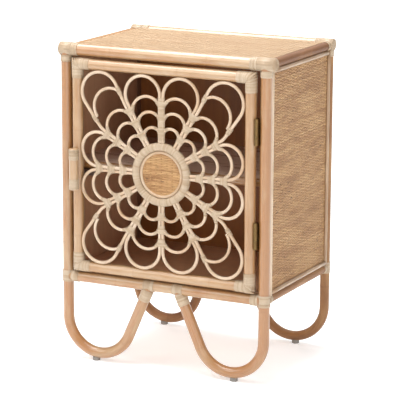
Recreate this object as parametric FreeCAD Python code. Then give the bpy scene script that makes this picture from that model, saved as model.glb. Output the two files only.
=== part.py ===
import FreeCAD, Part
import math
import os

Vec = FreeCAD.Vector
full_turn = 360.0
half_turn = 180.0
quarter_turn = 90.0

# A rattan bedside cabinet: bent pole legs, woven sides and a door with a petal grille.
# Millimetres, +Z up, +X to the right, the door faces -Y.

# ---- the case ---------------------------------------------------------------
case_width = 425.0            # between the corner posts' centres, left to right
case_depth = 289.0            # between the front and rear posts' centres
bottom_rail_height = 166.0    # floor to the bottom rails' centres
top_rail_height = 616.0       # floor to the front and rear top rails' centres
side_top_rail_drop = 2.0      # the side top rails lie this much lower

front_post_radius = 10.75
rear_post_radius = 9.5
front_top_rail_radius = 11.75
rear_top_rail_radius = 10.5
side_top_rail_radius = 9.0
front_bottom_rail_radius = 10.5
rear_bottom_rail_radius = 9.5
side_bottom_rail_radius = 9.0
front_rail_left_overhang = 12.0
front_rail_right_overhang = 17.5
rear_rail_overhang = 10.8

# ---- the legs ---------------------------------------------------------------
leg_bend_radius = 70.0        # centreline of the loop under each post
arm_head_offset = 31.0        # cabinet centre to where a leg's arm meets the rail
arm_stop = 3.0                # the arm's end stays this far short of the rail's centre
glide_height = 5.0
glide_radius = 7.5
glide_shift = 8.0             # outwards from the loop's lowest point
glide_seat = 2.5              # how far a glide's rim reaches up round its pole
glide_nail_length = 14.0
glide_nail_sink = 2.0

# ---- boards, mats and edge strips --------------------------------------------
board_thickness = 6.0
mat_thickness = 1.5
top_board_thickness = 8.0
top_mat_below_rail = 5.75     # top of the front rail down to the top mat's face
floor_board_thickness = 6.0
shelf_height = 396.0          # floor to the shelf's upper face
shelf_thickness = 9.0
shelf_rail_radius = 8.0
cleat_section = 12.0
cleat_end_gap = 20.0
strip_radius = 4.5            # half-round edge strips on the woven panels
fit_gap = 0.05                # between pieces that are laid side by side

# ---- peel bindings ------------------------------------------------------------
wrap = 1.2                    # thickness of a binding's turns
rail_end_wrap_length = 16.0   # along a top rail, inwards from the post's centre
front_right_wrap_length = 31.0
post_top_wrap_length = 12.0   # down a post from its top rail
bottom_wrap_length = 15.0     # along a bottom rail from the post
bottom_wrap_height = 11.0     # half the height of the bands round a post's foot joint
arm_rail_wrap = 11.0          # half the length of an arm's lashing on its rail
arm_wrap_length = 22.0        # down the arm from the rail
end_cap_rise = 0.8
coiled_cap_rise = 4.5         # the front rail's right end has a raised coil
cap_slope = 1.3               # how far a cap draws in for each millimetre that it rises

# ---- the door -------------------------------------------------------------------
door_pole_radius = 10.75
door_rail_radius = 10.5
door_side_gap = 6.75          # between a stile and its post
door_top_gap = 3.5            # under the front top rail
door_bottom_gap = 3.75        # over the front bottom rail
door_setting = 6.0            # door plane forward of the front posts' plane
door_corner_wrap_length = 38.0
door_corner_wrap = 1.0
door_end_cap = 1.3            # the turns stand this far over the stile's end

# ---- the petal grille -------------------------------------------------------------
grille_setting = 6.0          # grille plane forward of the door poles' plane
petal_cane_radius = 3.25
arch_cane_radius = 3.0
petal_cane_sides = 8
arch_cane_sides = 6
petal_count = 12
ring_radius = 54.0            # centreline of the thick centre ring
ring_core_radius = 6.8
ring_wrap_radius = 8.0
rim_cane_radius = 3.0
disc_board_thickness = 4.0
disc_mat_thickness = 1.2
disc_mat_setback = 1.8        # the mat's face behind the rim's front
arch_rows = 3
last_row_gap = 19.0           # the shorter petals' tips to the last row of arches
arch_meeting_angle = 28.0     # between an arch's end and the spoke it is tied to
corner_petal_gap = 10.0       # a corner petal's end to the petals beside it
corner_kink_gap = 47.0        # a corner petal leaves its spokes this far short of its end's centre
corner_kink_radius = 30.0
corner_arch_tighter = 2.5     # a corner arch's radius, less than its petal's
corner_arch_tip_gap = 38.5
spoke_wrap_length = 16.0
spoke_wrap_shift = 1.3        # a spoke's lashing lies this far beyond the arches' ends
spoke_wrap = 1.3
corner_arch_wrap_length = 14.0

# ---- the handle -----------------------------------------------------------------------
handle_radius = 9.0
handle_length = 82.0
handle_drop = 4.8             # the handle's middle below the door's
handle_wrap_length = 20.5
handle_wrap_inset = 1.5
handle_wrap = 0.9
handle_chamfer = 1.5
handle_seat = 0.5             # how far the handle is let on to the stile

# ---- hinges -----------------------------------------------------------------------------
hinge_end_distance = 111.25   # a door's end to its hinge's middle
hinge_length = 50.0
hinge_pin_radius = 1.5
hinge_pin_head_radius = 2.25
hinge_running_clearance = 0.05
hinge_leaf_thickness = 1.4
hinge_leaf_width = 16.5
hinge_recess = 0.15           # how deep a leaf is let into its pole
hinge_pin_setting = 12.0      # pin forward of the front posts' plane
knuckles = 3
knuckle_end_gap = 0.3
hinge_screw_spacing = 30.0
hinge_screw_length = 13.0
screw_radius = 1.25
screw_head_radius = 2.6

# ---- square nails, set below the surface and hidden by the bindings ----------------------
nail_side = 2.4
nail_sink = 3.0
nail_bite = 32.0              # how far a nail goes into the pole it holds
nail_stagger = 5.0            # nails that cross in a joint pass this far apart
side_nail_extra_sink = 1.25   # off the pole's middle, a nail is driven this much deeper
small_nail_side = 1.6
small_nail_bite = 9.0

# ---- magnetic catch --------------------------------------------------------------------------
catch_width = 40.0
catch_depth = 18.0
catch_height = 11.0
catch_shift = 10.0            # the catch's middle, inwards from the latch stile's
catch_seat = 0.4              # how far the catch is let into the shelf's front rail
catch_plate_gap = 0.4
catch_nail_spacing = 26.0
strike_width = 12.0
strike_height = 16.0
strike_thickness = 1.0

# ---- places worked out from the sizes above -----------------------------------------------------
left_x = -case_width / 2
right_x = case_width / 2
front_y = -case_depth / 2
rear_y = case_depth / 2
side_top_rail_height = top_rail_height - side_top_rail_drop
door_y = front_y - door_setting
grille_y = door_y - grille_setting
door_half_width = case_width / 2 - front_post_radius - door_side_gap
door_top = top_rail_height - front_top_rail_radius - door_top_gap
door_bottom = bottom_rail_height + front_bottom_rail_radius + door_bottom_gap
door_middle = (door_top + door_bottom) / 2
door_half_height = (door_top - door_bottom) / 2
hinge_heights = (door_bottom + hinge_end_distance, door_top - hinge_end_distance)
handle_height = door_middle - handle_drop
stile_x = door_half_width - door_pole_radius
door_rail_z = door_half_height - door_rail_radius
door_back_y = door_y + door_pole_radius
floor_board_bottom = bottom_rail_height + side_bottom_rail_radius
hinge_x = door_half_width + door_side_gap / 2
hinge_y = front_y - hinge_pin_setting
knuckle_radius = door_side_gap / 2 + hinge_recess
cane_offset = petal_cane_radius + fit_gap
handle_y = door_y - door_pole_radius - handle_radius + handle_seat
inside_x = case_width / 2 - board_thickness / 2
inside_rear_y = rear_y - board_thickness / 2


# ---- helpers -------------------------------------------------------------------------------------
def polar(distance, degrees):
    angle = math.radians(degrees)
    return distance * math.cos(angle), distance * math.sin(angle)


def bearing(dx, dz):
    return math.degrees(math.atan2(dz, dx))


def pole(start, end, radius):
    """A straight round pole between two points."""
    run = end - start
    return Part.makeCylinder(radius, run.Length, start, run)


def block(low, high):
    """A box between two corners."""
    size = high - low
    return Part.makeBox(size.x, size.y, size.z, low)


def less(shape, *tools):
    """The shape with the room that other pieces take cut away."""
    return shape.cut(Part.makeCompound(list(tools)))


def main_piece(shape):
    return max(shape.Solids, key=lambda solid: solid.Volume)


def round_section(radius):
    """A round pole's section, square to its run."""
    def face(here, along):
        return Part.Face(Part.Wire(Part.makeCircle(radius, here, along)))
    return face


def cane_section(radius, sides):
    """A thin cane's section, flat at the front and back."""
    def face(here, along):
        across = along.cross(Vec(0, 1, 0))
        corner_reach = radius / math.cos(math.pi / sides)
        corners = []
        for step in range(sides + 1):
            angle = math.pi * (2 * step + 1) / sides
            corner = across * (corner_reach * math.sin(angle))
            corners.append(here + corner + Vec(0, corner_reach * math.cos(angle), 0))
        return Part.Face(Part.makePolygon(corners))
    return face


petal_section = cane_section(petal_cane_radius, petal_cane_sides)
arch_section = cane_section(arch_cane_radius, arch_cane_sides)


def bent_rod(plane_y, start, heading, steps, section):
    """A rod bent in an upright plane. Each step is a straight length, or a (radius, turn) bend
    in degrees, where a positive turn goes from +X towards +Z."""
    x, z = start
    pieces = []
    for step in steps:
        here = Vec(x, plane_y, z)
        run_x, run_z = polar(1, heading)
        face = section(here, Vec(run_x, 0, run_z))
        if isinstance(step, tuple):
            radius, turn = step
            if abs(turn) < fit_gap:
                continue
            side = math.copysign(1, turn)
            centre_x = x - side * radius * run_z
            centre_z = z + side * radius * run_x
            pieces.append(face.revolve(Vec(centre_x, plane_y, centre_z), Vec(0, -side, 0), abs(turn)))
            heading += turn
            run_x, run_z = polar(1, heading)
            x = centre_x + side * radius * run_z
            z = centre_z - side * radius * run_x
        else:
            pieces.append(face.extrude(Vec(run_x, 0, run_z) * step))
            x += run_x * step
            z += run_z * step
    return pieces[0].multiFuse(pieces[1:]).removeSplitter()


def nail(head, direction, length, side=nail_side):
    """A square-shank nail from its head, along a main axis."""
    tip = head + direction * length
    room = Vec(side, side, side) / 2 - Vec(*(abs(part) for part in direction)) * (side / 2)
    low = Vec(*(min(pair) for pair in zip(head, tip))) - room
    high = Vec(*(max(pair) for pair in zip(head, tip))) + room
    return block(low, high)


# ---- the straight poles, before they are fitted to each other ---------------------------------------
def post_line(x, y, radius):
    return pole(Vec(x, y, bottom_rail_height - leg_bend_radius / 2), Vec(x, y, top_rail_height), radius)


def front_top_line():
    return pole(
        Vec(left_x - front_rail_left_overhang, front_y, top_rail_height),
        Vec(right_x + front_rail_right_overhang, front_y, top_rail_height),
        front_top_rail_radius,
    )


def rear_top_line():
    return pole(
        Vec(left_x - rear_rail_overhang, rear_y, top_rail_height),
        Vec(right_x + rear_rail_overhang, rear_y, top_rail_height),
        rear_top_rail_radius,
    )


def bottom_line(y, radius):
    return pole(Vec(left_x, y, bottom_rail_height), Vec(right_x, y, bottom_rail_height), radius)


def side_line(x, height, radius):
    return pole(Vec(x, front_y, height), Vec(x, rear_y, height), radius)


corners = {
    "front_left": (left_x, front_y, front_post_radius),
    "front_right": (right_x, front_y, front_post_radius),
    "rear_left": (left_x, rear_y, rear_post_radius),
    "rear_right": (right_x, rear_y, rear_post_radius),
}
post_lines = {name: post_line(*place) for name, place in corners.items()}
top_lines = {"front": front_top_line(), "rear": rear_top_line()}
bottom_lines = {
    "front": bottom_line(front_y, front_bottom_rail_radius),
    "rear": bottom_line(rear_y, rear_bottom_rail_radius),
}
side_top_lines = {
    side: side_line(x, side_top_rail_height, side_top_rail_radius)
    for side, x in (("left", left_x), ("right", right_x))
}
side_bottom_lines = {
    side: side_line(x, bottom_rail_height, side_bottom_rail_radius)
    for side, x in (("left", left_x), ("right", right_x))
}
all_lines = (
    list(post_lines.values())
    + list(top_lines.values())
    + list(bottom_lines.values())
    + list(side_top_lines.values())
    + list(side_bottom_lines.values())
)
top_rail_radii = {"front": front_top_rail_radius, "rear": rear_top_rail_radius}
bottom_rail_radii = {"front": front_bottom_rail_radius, "rear": rear_bottom_rail_radius}


def overhang(name):
    """How far the top rail runs past the post at a corner."""
    if name.startswith("rear"):
        return rear_rail_overhang
    return front_rail_right_overhang if name.endswith("right") else front_rail_left_overhang


def cap_rise(name):
    return coiled_cap_rise if name == "front_right" else end_cap_rise


# ---- legs -------------------------------------------------------------------------------------------
def leg_arm(post_radius):
    """The arm's slope in degrees above level, and the tangent length from the loop to the rail."""
    loop_centre = glide_height + post_radius + leg_bend_radius
    run = case_width / 2 - arm_head_offset - leg_bend_radius
    rise = bottom_rail_height - loop_centre
    distance = math.hypot(run, rise)
    slope = bearing(run, rise) + math.degrees(math.asin(leg_bend_radius / distance))
    return slope, math.sqrt(distance ** 2 - leg_bend_radius ** 2)


def leg_post(name):
    """One pole: down as the corner post, round the loop, and up as the arm to the bottom rail."""
    x, y, radius = corners[name]
    slope, tangent = leg_arm(radius)
    inward = -math.copysign(1, x)
    straight = top_rail_height - (glide_height + radius + leg_bend_radius)
    steps = [straight, (leg_bend_radius, inward * (quarter_turn + slope)), tangent - arm_stop]
    rod = bent_rod(y, (x, top_rail_height), -quarter_turn, steps, round_section(radius))
    row = name.split("_")[0]
    return less(rod, top_lines[row], bottom_lines[row].cut(post_lines[name]))


def loop_foot(name):
    """Where a glide is nailed under a leg's loop, a little outwards from its lowest point."""
    x, y, radius = corners[name]
    return Vec(x - math.copysign(leg_bend_radius - glide_shift, x), y, glide_height)


def foot_glide(name):
    foot = loop_foot(name)
    return Part.makeCylinder(glide_radius, glide_height + glide_seat, Vec(foot.x, foot.y, 0))


# ---- nails that hold the case together ------------------------------------------------------------
def joint_nails(name):
    """One corner's nails: into the bottom rail, down through the top rail, into both side rails, and
    up through the glide."""
    x, y, radius = corners[name]
    inward = Vec(-math.copysign(1, x), 0, 0)
    backward = Vec(0, -math.copysign(1, y), 0)
    up = Vec(0, 0, 1)
    top_radius = top_rail_radii[name.split("_")[0]]
    joint = Vec(x, y, bottom_rail_height)
    crown = Vec(x, y, top_rail_height)
    side_joint = joint - up * nail_stagger
    side_crown = Vec(x, y, side_top_rail_height) - inward * nail_stagger
    reach = radius - nail_sink
    top_reach = top_radius - nail_sink
    return [
        nail(joint - inward * reach, inward, reach + radius + nail_bite),
        nail(side_joint - backward * (reach - side_nail_extra_sink), backward, reach + radius + nail_bite),
        nail(crown + up * top_reach, up * -1, top_reach + top_radius + nail_bite),
        nail(side_crown - backward * (top_reach - side_nail_extra_sink), backward,
             top_reach + top_radius + nail_bite),
        nail(loop_foot(name) - up * (glide_height - glide_nail_sink), up, glide_nail_length),
    ]


# ---- bindings on the case ----------------------------------------------------------------------------
def sleeve(start, end, radius, thickness=wrap):
    return pole(start, end, radius + thickness)


def top_corner_binding(name):
    """Turns round the top rail's end and the post under it."""
    x, y, radius = corners[name]
    outward = math.copysign(1, x)
    rail_radius = top_rail_radii[name.split("_")[0]]
    wrap_length = front_right_wrap_length if name == "front_right" else rail_end_wrap_length
    on_rail = sleeve(
        Vec(x + outward * overhang(name), y, top_rail_height),
        Vec(x - outward * wrap_length, y, top_rail_height),
        rail_radius,
    )
    rail_under = top_rail_height - rail_radius
    on_post = sleeve(Vec(x, y, rail_under - post_top_wrap_length), Vec(x, y, top_rail_height), radius)
    return on_rail.fuse(on_post)


def rail_end_cap(name):
    """A round of coiled peel that closes a top rail's end."""
    x, y, radius = corners[name]
    outward = math.copysign(1, x)
    base = top_rail_radii[name.split("_")[0]] + wrap
    rise = cap_rise(name)
    start = Vec(x + outward * overhang(name), y, top_rail_height)
    cap = Part.makeCone(base, base - cap_slope * rise, rise, start, Vec(outward, 0, 0))
    return main_piece(less(cap, post_lines[name], side_top_lines[name.split("_")[1]]))


def bottom_corner_binding(name):
    """Turns round the post where the bottom rails butt on it, and on the front or rear rail's end."""
    x, y, radius = corners[name]
    outward = math.copysign(1, x)
    on_post = sleeve(
        Vec(x, y, bottom_rail_height - bottom_wrap_height),
        Vec(x, y, bottom_rail_height + bottom_wrap_height),
        radius,
    )
    on_rail = sleeve(
        Vec(x, y, bottom_rail_height),
        Vec(x - outward * (radius + bottom_wrap_length), y, bottom_rail_height),
        bottom_rail_radii[name.split("_")[0]],
    )
    return on_post.fuse(on_rail)


def arm_binding(name):
    """The lashing that ties a leg's arm to its bottom rail."""
    x, y, radius = corners[name]
    outward = math.copysign(1, x)
    slope, _ = leg_arm(radius)
    rail_radius = bottom_rail_radii[name.split("_")[0]]
    head = Vec(outward * arm_head_offset, y, bottom_rail_height)
    down_x, down_z = polar(1, slope)
    down = Vec(outward * down_x, 0, -down_z)
    on_rail = sleeve(head - Vec(arm_rail_wrap, 0, 0), head + Vec(arm_rail_wrap, 0, 0), rail_radius)
    on_arm = sleeve(head, head + down * (rail_radius + arm_wrap_length), radius)
    return on_rail.fuse(on_arm)


# ---- boards, mats and strips ----------------------------------------------------------------------------
def side_layer(side, inner, outer):
    """A layer of a side panel, between two distances outwards from the posts' plane."""
    x = left_x if side == "left" else right_x
    outward = math.copysign(1, x)
    reach = sorted((x + outward * inner, x + outward * outer))
    whole = block(
        Vec(reach[0], front_y, bottom_rail_height),
        Vec(reach[1], rear_y, side_top_rail_height),
    )
    return main_piece(less(whole, *all_lines))


def back_layer(inner, outer):
    whole = block(
        Vec(left_x, rear_y + inner, bottom_rail_height), Vec(right_x, rear_y + outer, top_rail_height)
    )
    return main_piece(less(whole, *all_lines))


def top_layer(low, high):
    whole = block(Vec(left_x, front_y, low), Vec(right_x, rear_y, high))
    return main_piece(less(whole, *all_lines))


def half_round(start, end, outward, radius=strip_radius):
    """A half-round strip whose flat back lies on the line from start to end."""
    run = end - start
    full = Part.makeCylinder(radius, run.Length, start, run)
    across = run.cross(outward).normalize()
    corner = start - across * (2 * radius) - outward * (2 * radius)
    back_face = Part.Face(
        Part.makePolygon(
            [
                corner,
                corner + across * (4 * radius),
                corner + across * (4 * radius) + outward * (2 * radius),
                corner + outward * (2 * radius),
                corner,
            ]
        )
    )
    return full.cut(back_face.extrude(run))


def seat_distance(pole_radius, face_offset):
    """From a pole's centre to the middle of a strip laid against it on a face beside it."""
    return math.sqrt(pole_radius ** 2 - face_offset ** 2) + strip_radius + fit_gap


def framed_strips(place, first, second, low, high, radii, face_offset):
    """Four strips round a woven panel. place(a, z) gives a point on the panel's face."""
    first_radius, second_radius, low_radius, high_radius = radii
    outward = (place(first, low, 1) - place(first, low, 0)).normalize()
    near = first + seat_distance(first_radius, face_offset)
    far = second - seat_distance(second_radius, face_offset)
    bottom = low + seat_distance(low_radius, face_offset)
    top = high - seat_distance(high_radius, face_offset)
    uprights = [
        half_round(place(a, bottom - strip_radius, 0), place(a, top + strip_radius, 0), outward)
        for a in (near, far)
    ]
    levels = [
        half_round(place(near, z, 0), place(far, z, 0), outward)
        for z in (bottom, top)
    ]
    return uprights + [main_piece(less(level, *uprights)) for level in levels]


def side_strips(side):
    x = left_x if side == "left" else right_x
    outward = math.copysign(1, x)
    face_offset = board_thickness / 2 + mat_thickness

    def place(y, z, out):
        return Vec(x + outward * (face_offset + out), y, z)

    return framed_strips(
        place, front_y, rear_y, bottom_rail_height, side_top_rail_height,
        (front_post_radius, rear_post_radius, side_bottom_rail_radius, side_top_rail_radius), face_offset,
    )


def back_strips():
    face_offset = board_thickness / 2 + mat_thickness

    def place(x, z, out):
        return Vec(x, rear_y + face_offset + out, z)

    return framed_strips(
        place, left_x, right_x, bottom_rail_height, top_rail_height,
        (rear_post_radius, rear_post_radius, rear_bottom_rail_radius, rear_top_rail_radius), face_offset,
    )


# ---- inside ----------------------------------------------------------------------------------------------
inside_front_y = door_back_y + strike_thickness + catch_plate_gap


def floor_board():
    whole = block(
        Vec(-inside_x, inside_front_y, floor_board_bottom),
        Vec(inside_x, inside_rear_y, floor_board_bottom + floor_board_thickness),
    )
    return main_piece(less(whole, *all_lines))


shelf_rail_y = front_y + front_post_radius + shelf_rail_radius + fit_gap
shelf_rail_z = shelf_height - shelf_rail_radius


def shelf_front_rail():
    return pole(Vec(-inside_x, shelf_rail_y, shelf_rail_z), Vec(inside_x, shelf_rail_y, shelf_rail_z),
                shelf_rail_radius)


def shelf_board():
    whole = block(
        Vec(-inside_x, shelf_rail_y, shelf_height - shelf_thickness),
        Vec(inside_x, inside_rear_y, shelf_height),
    )
    return main_piece(less(whole, shelf_front_rail(), *post_lines.values()))


def shelf_cleats():
    top = shelf_height - shelf_thickness
    start = shelf_rail_y + shelf_rail_radius + cleat_end_gap
    result = []
    for side in (-1, 1):
        reach = sorted((side * inside_x, side * (inside_x - cleat_section)))
        result.append(
            block(Vec(reach[0], start, top - cleat_section), Vec(reach[1], inside_rear_y - cleat_end_gap, top))
        )
    return result


# ---- door frame --------------------------------------------------------------------------------------------
def door_point(x, z, y=door_y):
    return Vec(x, y, door_middle + z)


def stile(side):
    return pole(door_point(side * stile_x, -door_half_height), door_point(side * stile_x, door_half_height),
                door_pole_radius)


def door_rail(side):
    whole = pole(door_point(-stile_x, side * door_rail_z), door_point(stile_x, side * door_rail_z),
                 door_rail_radius)
    return less(whole, stile(-1), stile(1))


def door_corner_binding(side_x, side_z):
    """Turns over a stile's end and the rail's end beside it, closed over the pole's end."""
    corner_z = side_z * (door_half_height + door_end_cap)
    on_stile = sleeve(
        door_point(side_x * stile_x, corner_z),
        door_point(side_x * stile_x, side_z * (door_half_height - door_corner_wrap_length)),
        door_pole_radius,
        door_corner_wrap,
    )
    on_rail = sleeve(
        door_point(side_x * stile_x, side_z * door_rail_z),
        door_point(side_x * (door_half_width - door_corner_wrap_length), side_z * door_rail_z),
        door_rail_radius,
        door_corner_wrap,
    )
    return less(on_stile.fuse(on_rail), stile(side_x), door_rail(side_z))


# ---- petal grille --------------------------------------------------------------------------------------------
reach_x = stile_x - math.sqrt((door_pole_radius + petal_cane_radius) ** 2 - grille_setting ** 2)
reach_z = door_rail_z - math.sqrt((door_rail_radius + petal_cane_radius) ** 2 - grille_setting ** 2)


spoke_step = full_turn / petal_count


def sectors():
    """(low spoke, high spoke) in degrees for every petal, all the way round."""
    return [(index * spoke_step, (index + 1) * spoke_step) for index in range(petal_count)]


def middle_angle(low, high):
    return math.radians((low + high) / 2)


def reaches_corner(low, high):
    """Whether a petal is one of the four that reach into the door's corners."""
    middle = math.degrees(middle_angle(low, high)) % quarter_turn
    return abs(middle - quarter_turn / 2) < spoke_step / 2


def plain_reach(low, high):
    """How far a plain petal reaches, out to the stile or rail that it rests against."""
    middle = middle_angle(low, high)
    return reach_x if abs(math.cos(middle)) > abs(math.sin(middle)) else reach_z


def plain_circle(reach):
    """Distance and radius of the round end that meets both legs of a plain petal."""
    half = math.radians(spoke_step / 2)
    distance = (reach + cane_offset) / (math.cos(half) + math.sin(half))
    return distance, distance * math.sin(half) - cane_offset


def petal_half_spread(reach):
    """How far a plain petal's outer side lies from the door's middle line."""
    distance, radius = plain_circle(reach)
    return distance * math.sin(math.radians(spoke_step / 2)) + radius


corner_petal_radius = min(
    reach_x - petal_half_spread(reach_z), reach_z - petal_half_spread(reach_x)
) / 2 - corner_petal_gap / 2 - petal_cane_radius
corner_arch_radius = corner_petal_radius - corner_arch_tighter
row_step = (min(reach_x, reach_z) - last_row_gap - ring_radius - ring_wrap_radius) / arch_rows
row_tips = [ring_radius + ring_wrap_radius + row_step * (row + 1) for row in range(arch_rows)]


def leg_start(spoke, side):
    """Where a petal's leg starts inside the ring; side is +1 on the spoke's left, -1 on its right."""
    x, z = polar(ring_radius, spoke)
    off_x, off_z = polar(cane_offset, spoke + quarter_turn * side)
    return x + off_x, door_middle + z + off_z


def plain_petal(low, high):
    """A loop whose end is one round arc that meets both legs and rests against the door's frame."""
    distance, radius = plain_circle(plain_reach(low, high))
    leg = distance * math.cos(math.radians(spoke_step / 2)) - ring_radius
    steps = [leg, (radius, half_turn + spoke_step), leg]
    return bent_rod(grille_y, leg_start(low, 1), low, steps, petal_section)


def corner_circle(low, high):
    """The centre of the round end of the corner petal between two spokes, from the door's middle."""
    middle = middle_angle(low, high)
    x = math.copysign(reach_x - corner_petal_radius, math.cos(middle))
    z = math.copysign(reach_z - corner_petal_radius, math.sin(middle))
    return x, z


def kink_reach(centre):
    return math.hypot(*centre) - corner_kink_gap


def corner_leg(spoke, side, centre):
    """A corner petal's leg past its kink: the kink's place, its heading and its length to the arc."""
    x, z = polar(kink_reach(centre), spoke)
    off_x, off_z = polar(cane_offset, spoke + quarter_turn * side)
    kink_x, kink_z = x + off_x, z + off_z
    dx, dz = centre[0] - kink_x, centre[1] - kink_z
    distance = math.hypot(dx, dz)
    heading = bearing(dx, dz) - side * math.degrees(math.asin(corner_petal_radius / distance))
    turn = (heading - spoke + half_turn) % full_turn - half_turn
    return (kink_x, kink_z), spoke + turn, turn, math.sqrt(distance ** 2 - corner_petal_radius ** 2)


def corner_petal(low, high):
    centre = corner_circle(low, high)
    first_place, first_heading, first_turn, first_length = corner_leg(low, 1, centre)
    last_place, last_heading, last_turn, last_length = corner_leg(high, -1, centre)
    trim_first = corner_kink_radius * math.tan(math.radians(abs(first_turn)) / 2)
    trim_last = corner_kink_radius * math.tan(math.radians(abs(last_turn)) / 2)
    leg = kink_reach(centre) - ring_radius
    steps = [
        leg - trim_first,
        (corner_kink_radius, first_turn),
        first_length - trim_first,
        (corner_petal_radius, last_heading + half_turn - first_heading),
        last_length - trim_last,
        (corner_kink_radius, -last_turn),
        leg - trim_last,
    ]
    return bent_rod(grille_y, leg_start(low, 1), low, steps, petal_section)


def row_circle(tip):
    """Distance and radius of an arch's circle, so that it ends on the legs at the meeting angle."""
    spread = math.sin(math.radians(spoke_step / 2))
    meeting = math.cos(math.radians(arch_meeting_angle))
    distance = (tip + cane_offset / meeting) / (1 + spread / meeting)
    return distance, tip - distance


def row_arch(low, high, tip, petal, ties):
    """An arch between a petal's two legs, its ends shaped to the legs and their lashings."""
    distance, radius = row_circle(tip)
    axis = (low + high) / 2
    half_span = quarter_turn + spoke_step / 2 - arch_meeting_angle
    x, z = polar(distance, axis)
    from_x, from_z = polar(radius, axis - half_span)
    start = (x + from_x, door_middle + z + from_z)
    rod = bent_rod(grille_y, start, axis - half_span + quarter_turn, [(radius, 2 * half_span)],
                   arch_section)
    return main_piece(less(rod, petal, *ties))


def arch_end(centre, place, heading):
    """Where a circle round centre crosses a corner petal's leg, on the far side, as a bearing."""
    run_x, run_z = polar(1, heading)
    dx, dz = centre[0] - place[0], centre[1] - place[1]
    along = dx * run_x + dz * run_z
    aside = dx * run_z - dz * run_x
    along += math.sqrt(max(corner_arch_radius ** 2 - aside ** 2, 0))
    cross = (place[0] + along * run_x, place[1] + along * run_z)
    return cross, bearing(cross[0] - centre[0], cross[1] - centre[1])


def corner_arch_layout(low, high):
    """The corner arch's circle and where its two ends meet the petal's legs."""
    circle = corner_circle(low, high)
    reach = math.hypot(*circle)
    tip = reach + corner_petal_radius - corner_arch_tip_gap
    share = (tip - corner_arch_radius) / reach
    centre = (circle[0] * share, circle[1] * share)
    first_place, first_heading, _, _ = corner_leg(low, 1, circle)
    last_place, last_heading, _, _ = corner_leg(high, -1, circle)
    first = arch_end(centre, first_place, first_heading)
    last = arch_end(centre, last_place, last_heading)
    return centre, (first, first_heading), (last, last_heading)


def corner_arch_ties(low, high):
    """The two lashings that hold a corner arch's ends on its petal."""
    _, first, last = corner_arch_layout(low, high)
    return [
        lashing(cross, heading, petal_cane_radius, corner_arch_wrap_length)
        for (cross, _), heading in (first, last)
    ]


def corner_arch(low, high, petal, ties):
    centre, (first, _), (last, _) = corner_arch_layout(low, high)
    first_bearing = first[1]
    turn = (last[1] - first_bearing) % full_turn
    from_x, from_z = polar(corner_arch_radius, first_bearing)
    start = (centre[0] + from_x, door_middle + centre[1] + from_z)
    rod = bent_rod(grille_y, start, first_bearing + quarter_turn, [(corner_arch_radius, turn)],
                   arch_section)
    return main_piece(less(rod, petal, *ties))


def lashing(place, heading, half_width, length):
    """An eight-sided sleeve round one or two canes, centred at place, that runs along heading."""
    run_x, run_z = polar(1, heading)
    along = Vec(run_x, 0, run_z)
    across = along.cross(Vec(0, 1, 0))
    middle = Vec(place[0], grille_y, door_middle + place[1])

    def prism(outline):
        corners_3d = [middle - along * (length / 2) + across * a + Vec(0, b, 0) for a, b in outline]
        return Part.Face(Part.makePolygon(corners_3d)).extrude(along * length)

    wide = half_width + spoke_wrap
    deep = petal_cane_radius + spoke_wrap
    bevel = deep / 2
    upper = [(wide, bevel), (wide - bevel, deep), (bevel - wide, deep), (-wide, bevel)]
    lower = [(-a, -b) for a, b in upper]
    opening = [(half_width, petal_cane_radius), (-half_width, petal_cane_radius)]
    opening += [(-a, -b) for a, b in opening]
    return prism(upper + lower + upper[:1]).cut(prism(opening + opening[:1]))


def spoke_binding(spoke, tip):
    """The lashing of one row of arches on one spoke."""
    distance, radius = row_circle(tip)
    arch_end_reach = distance * math.cos(math.radians(spoke_step / 2))
    arch_end_reach += radius * math.sin(math.radians(arch_meeting_angle))
    place = polar(arch_end_reach + spoke_wrap_shift, spoke)
    return lashing(place, spoke, 2 * petal_cane_radius + fit_gap, spoke_wrap_length)


def hoop(radius, cane_radius, sides):
    """A cane bent to a full ring round the door's middle."""
    section = cane_section(cane_radius, sides)(door_point(radius, 0, grille_y), Vec(0, 0, 1))
    return section.revolve(door_point(0, 0, grille_y), Vec(0, -1, 0), full_turn)


def grille_parts():
    """Petals, arches and lashings, by node name."""
    frame = (hoop(ring_radius, ring_wrap_radius, petal_cane_sides),
             stile(-1), stile(1), door_rail(-1), door_rail(1))
    all_sectors = sectors()
    petals = []
    parts = {"side_petals": [], "corner_petals": [], "inner_arches": [], "spoke_bindings": [],
             "corner_arches": [], "corner_arch_bindings": []}
    for low, high in all_sectors:
        in_corner = reaches_corner(low, high)
        make = corner_petal if in_corner else plain_petal
        petal = main_piece(less(make(low, high), *frame))
        petals.append(petal)
        parts["corner_petals" if in_corner else "side_petals"].append(petal)
        if in_corner:
            ties = corner_arch_ties(low, high)
            parts["corner_arch_bindings"] += ties
            parts["corner_arches"].append(corner_arch(low, high, petal, ties))
    lashings = []
    for index, (low, _) in enumerate(all_sectors):
        near = (petals[index - 1], petals[index])
        blanks = [spoke_binding(low, tip) for tip in row_tips]
        lashings.append([main_piece(less(blank, *near)) for blank in blanks])
    for index, (low, high) in enumerate(all_sectors):
        following = (index + 1) % petal_count
        for row, tip in enumerate(row_tips):
            ties = (lashings[index][row], lashings[following][row])
            parts["inner_arches"].append(row_arch(low, high, tip, petals[index], ties))
    parts["spoke_bindings"] = [lashing for spoke in lashings for lashing in spoke]
    return parts


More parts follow.
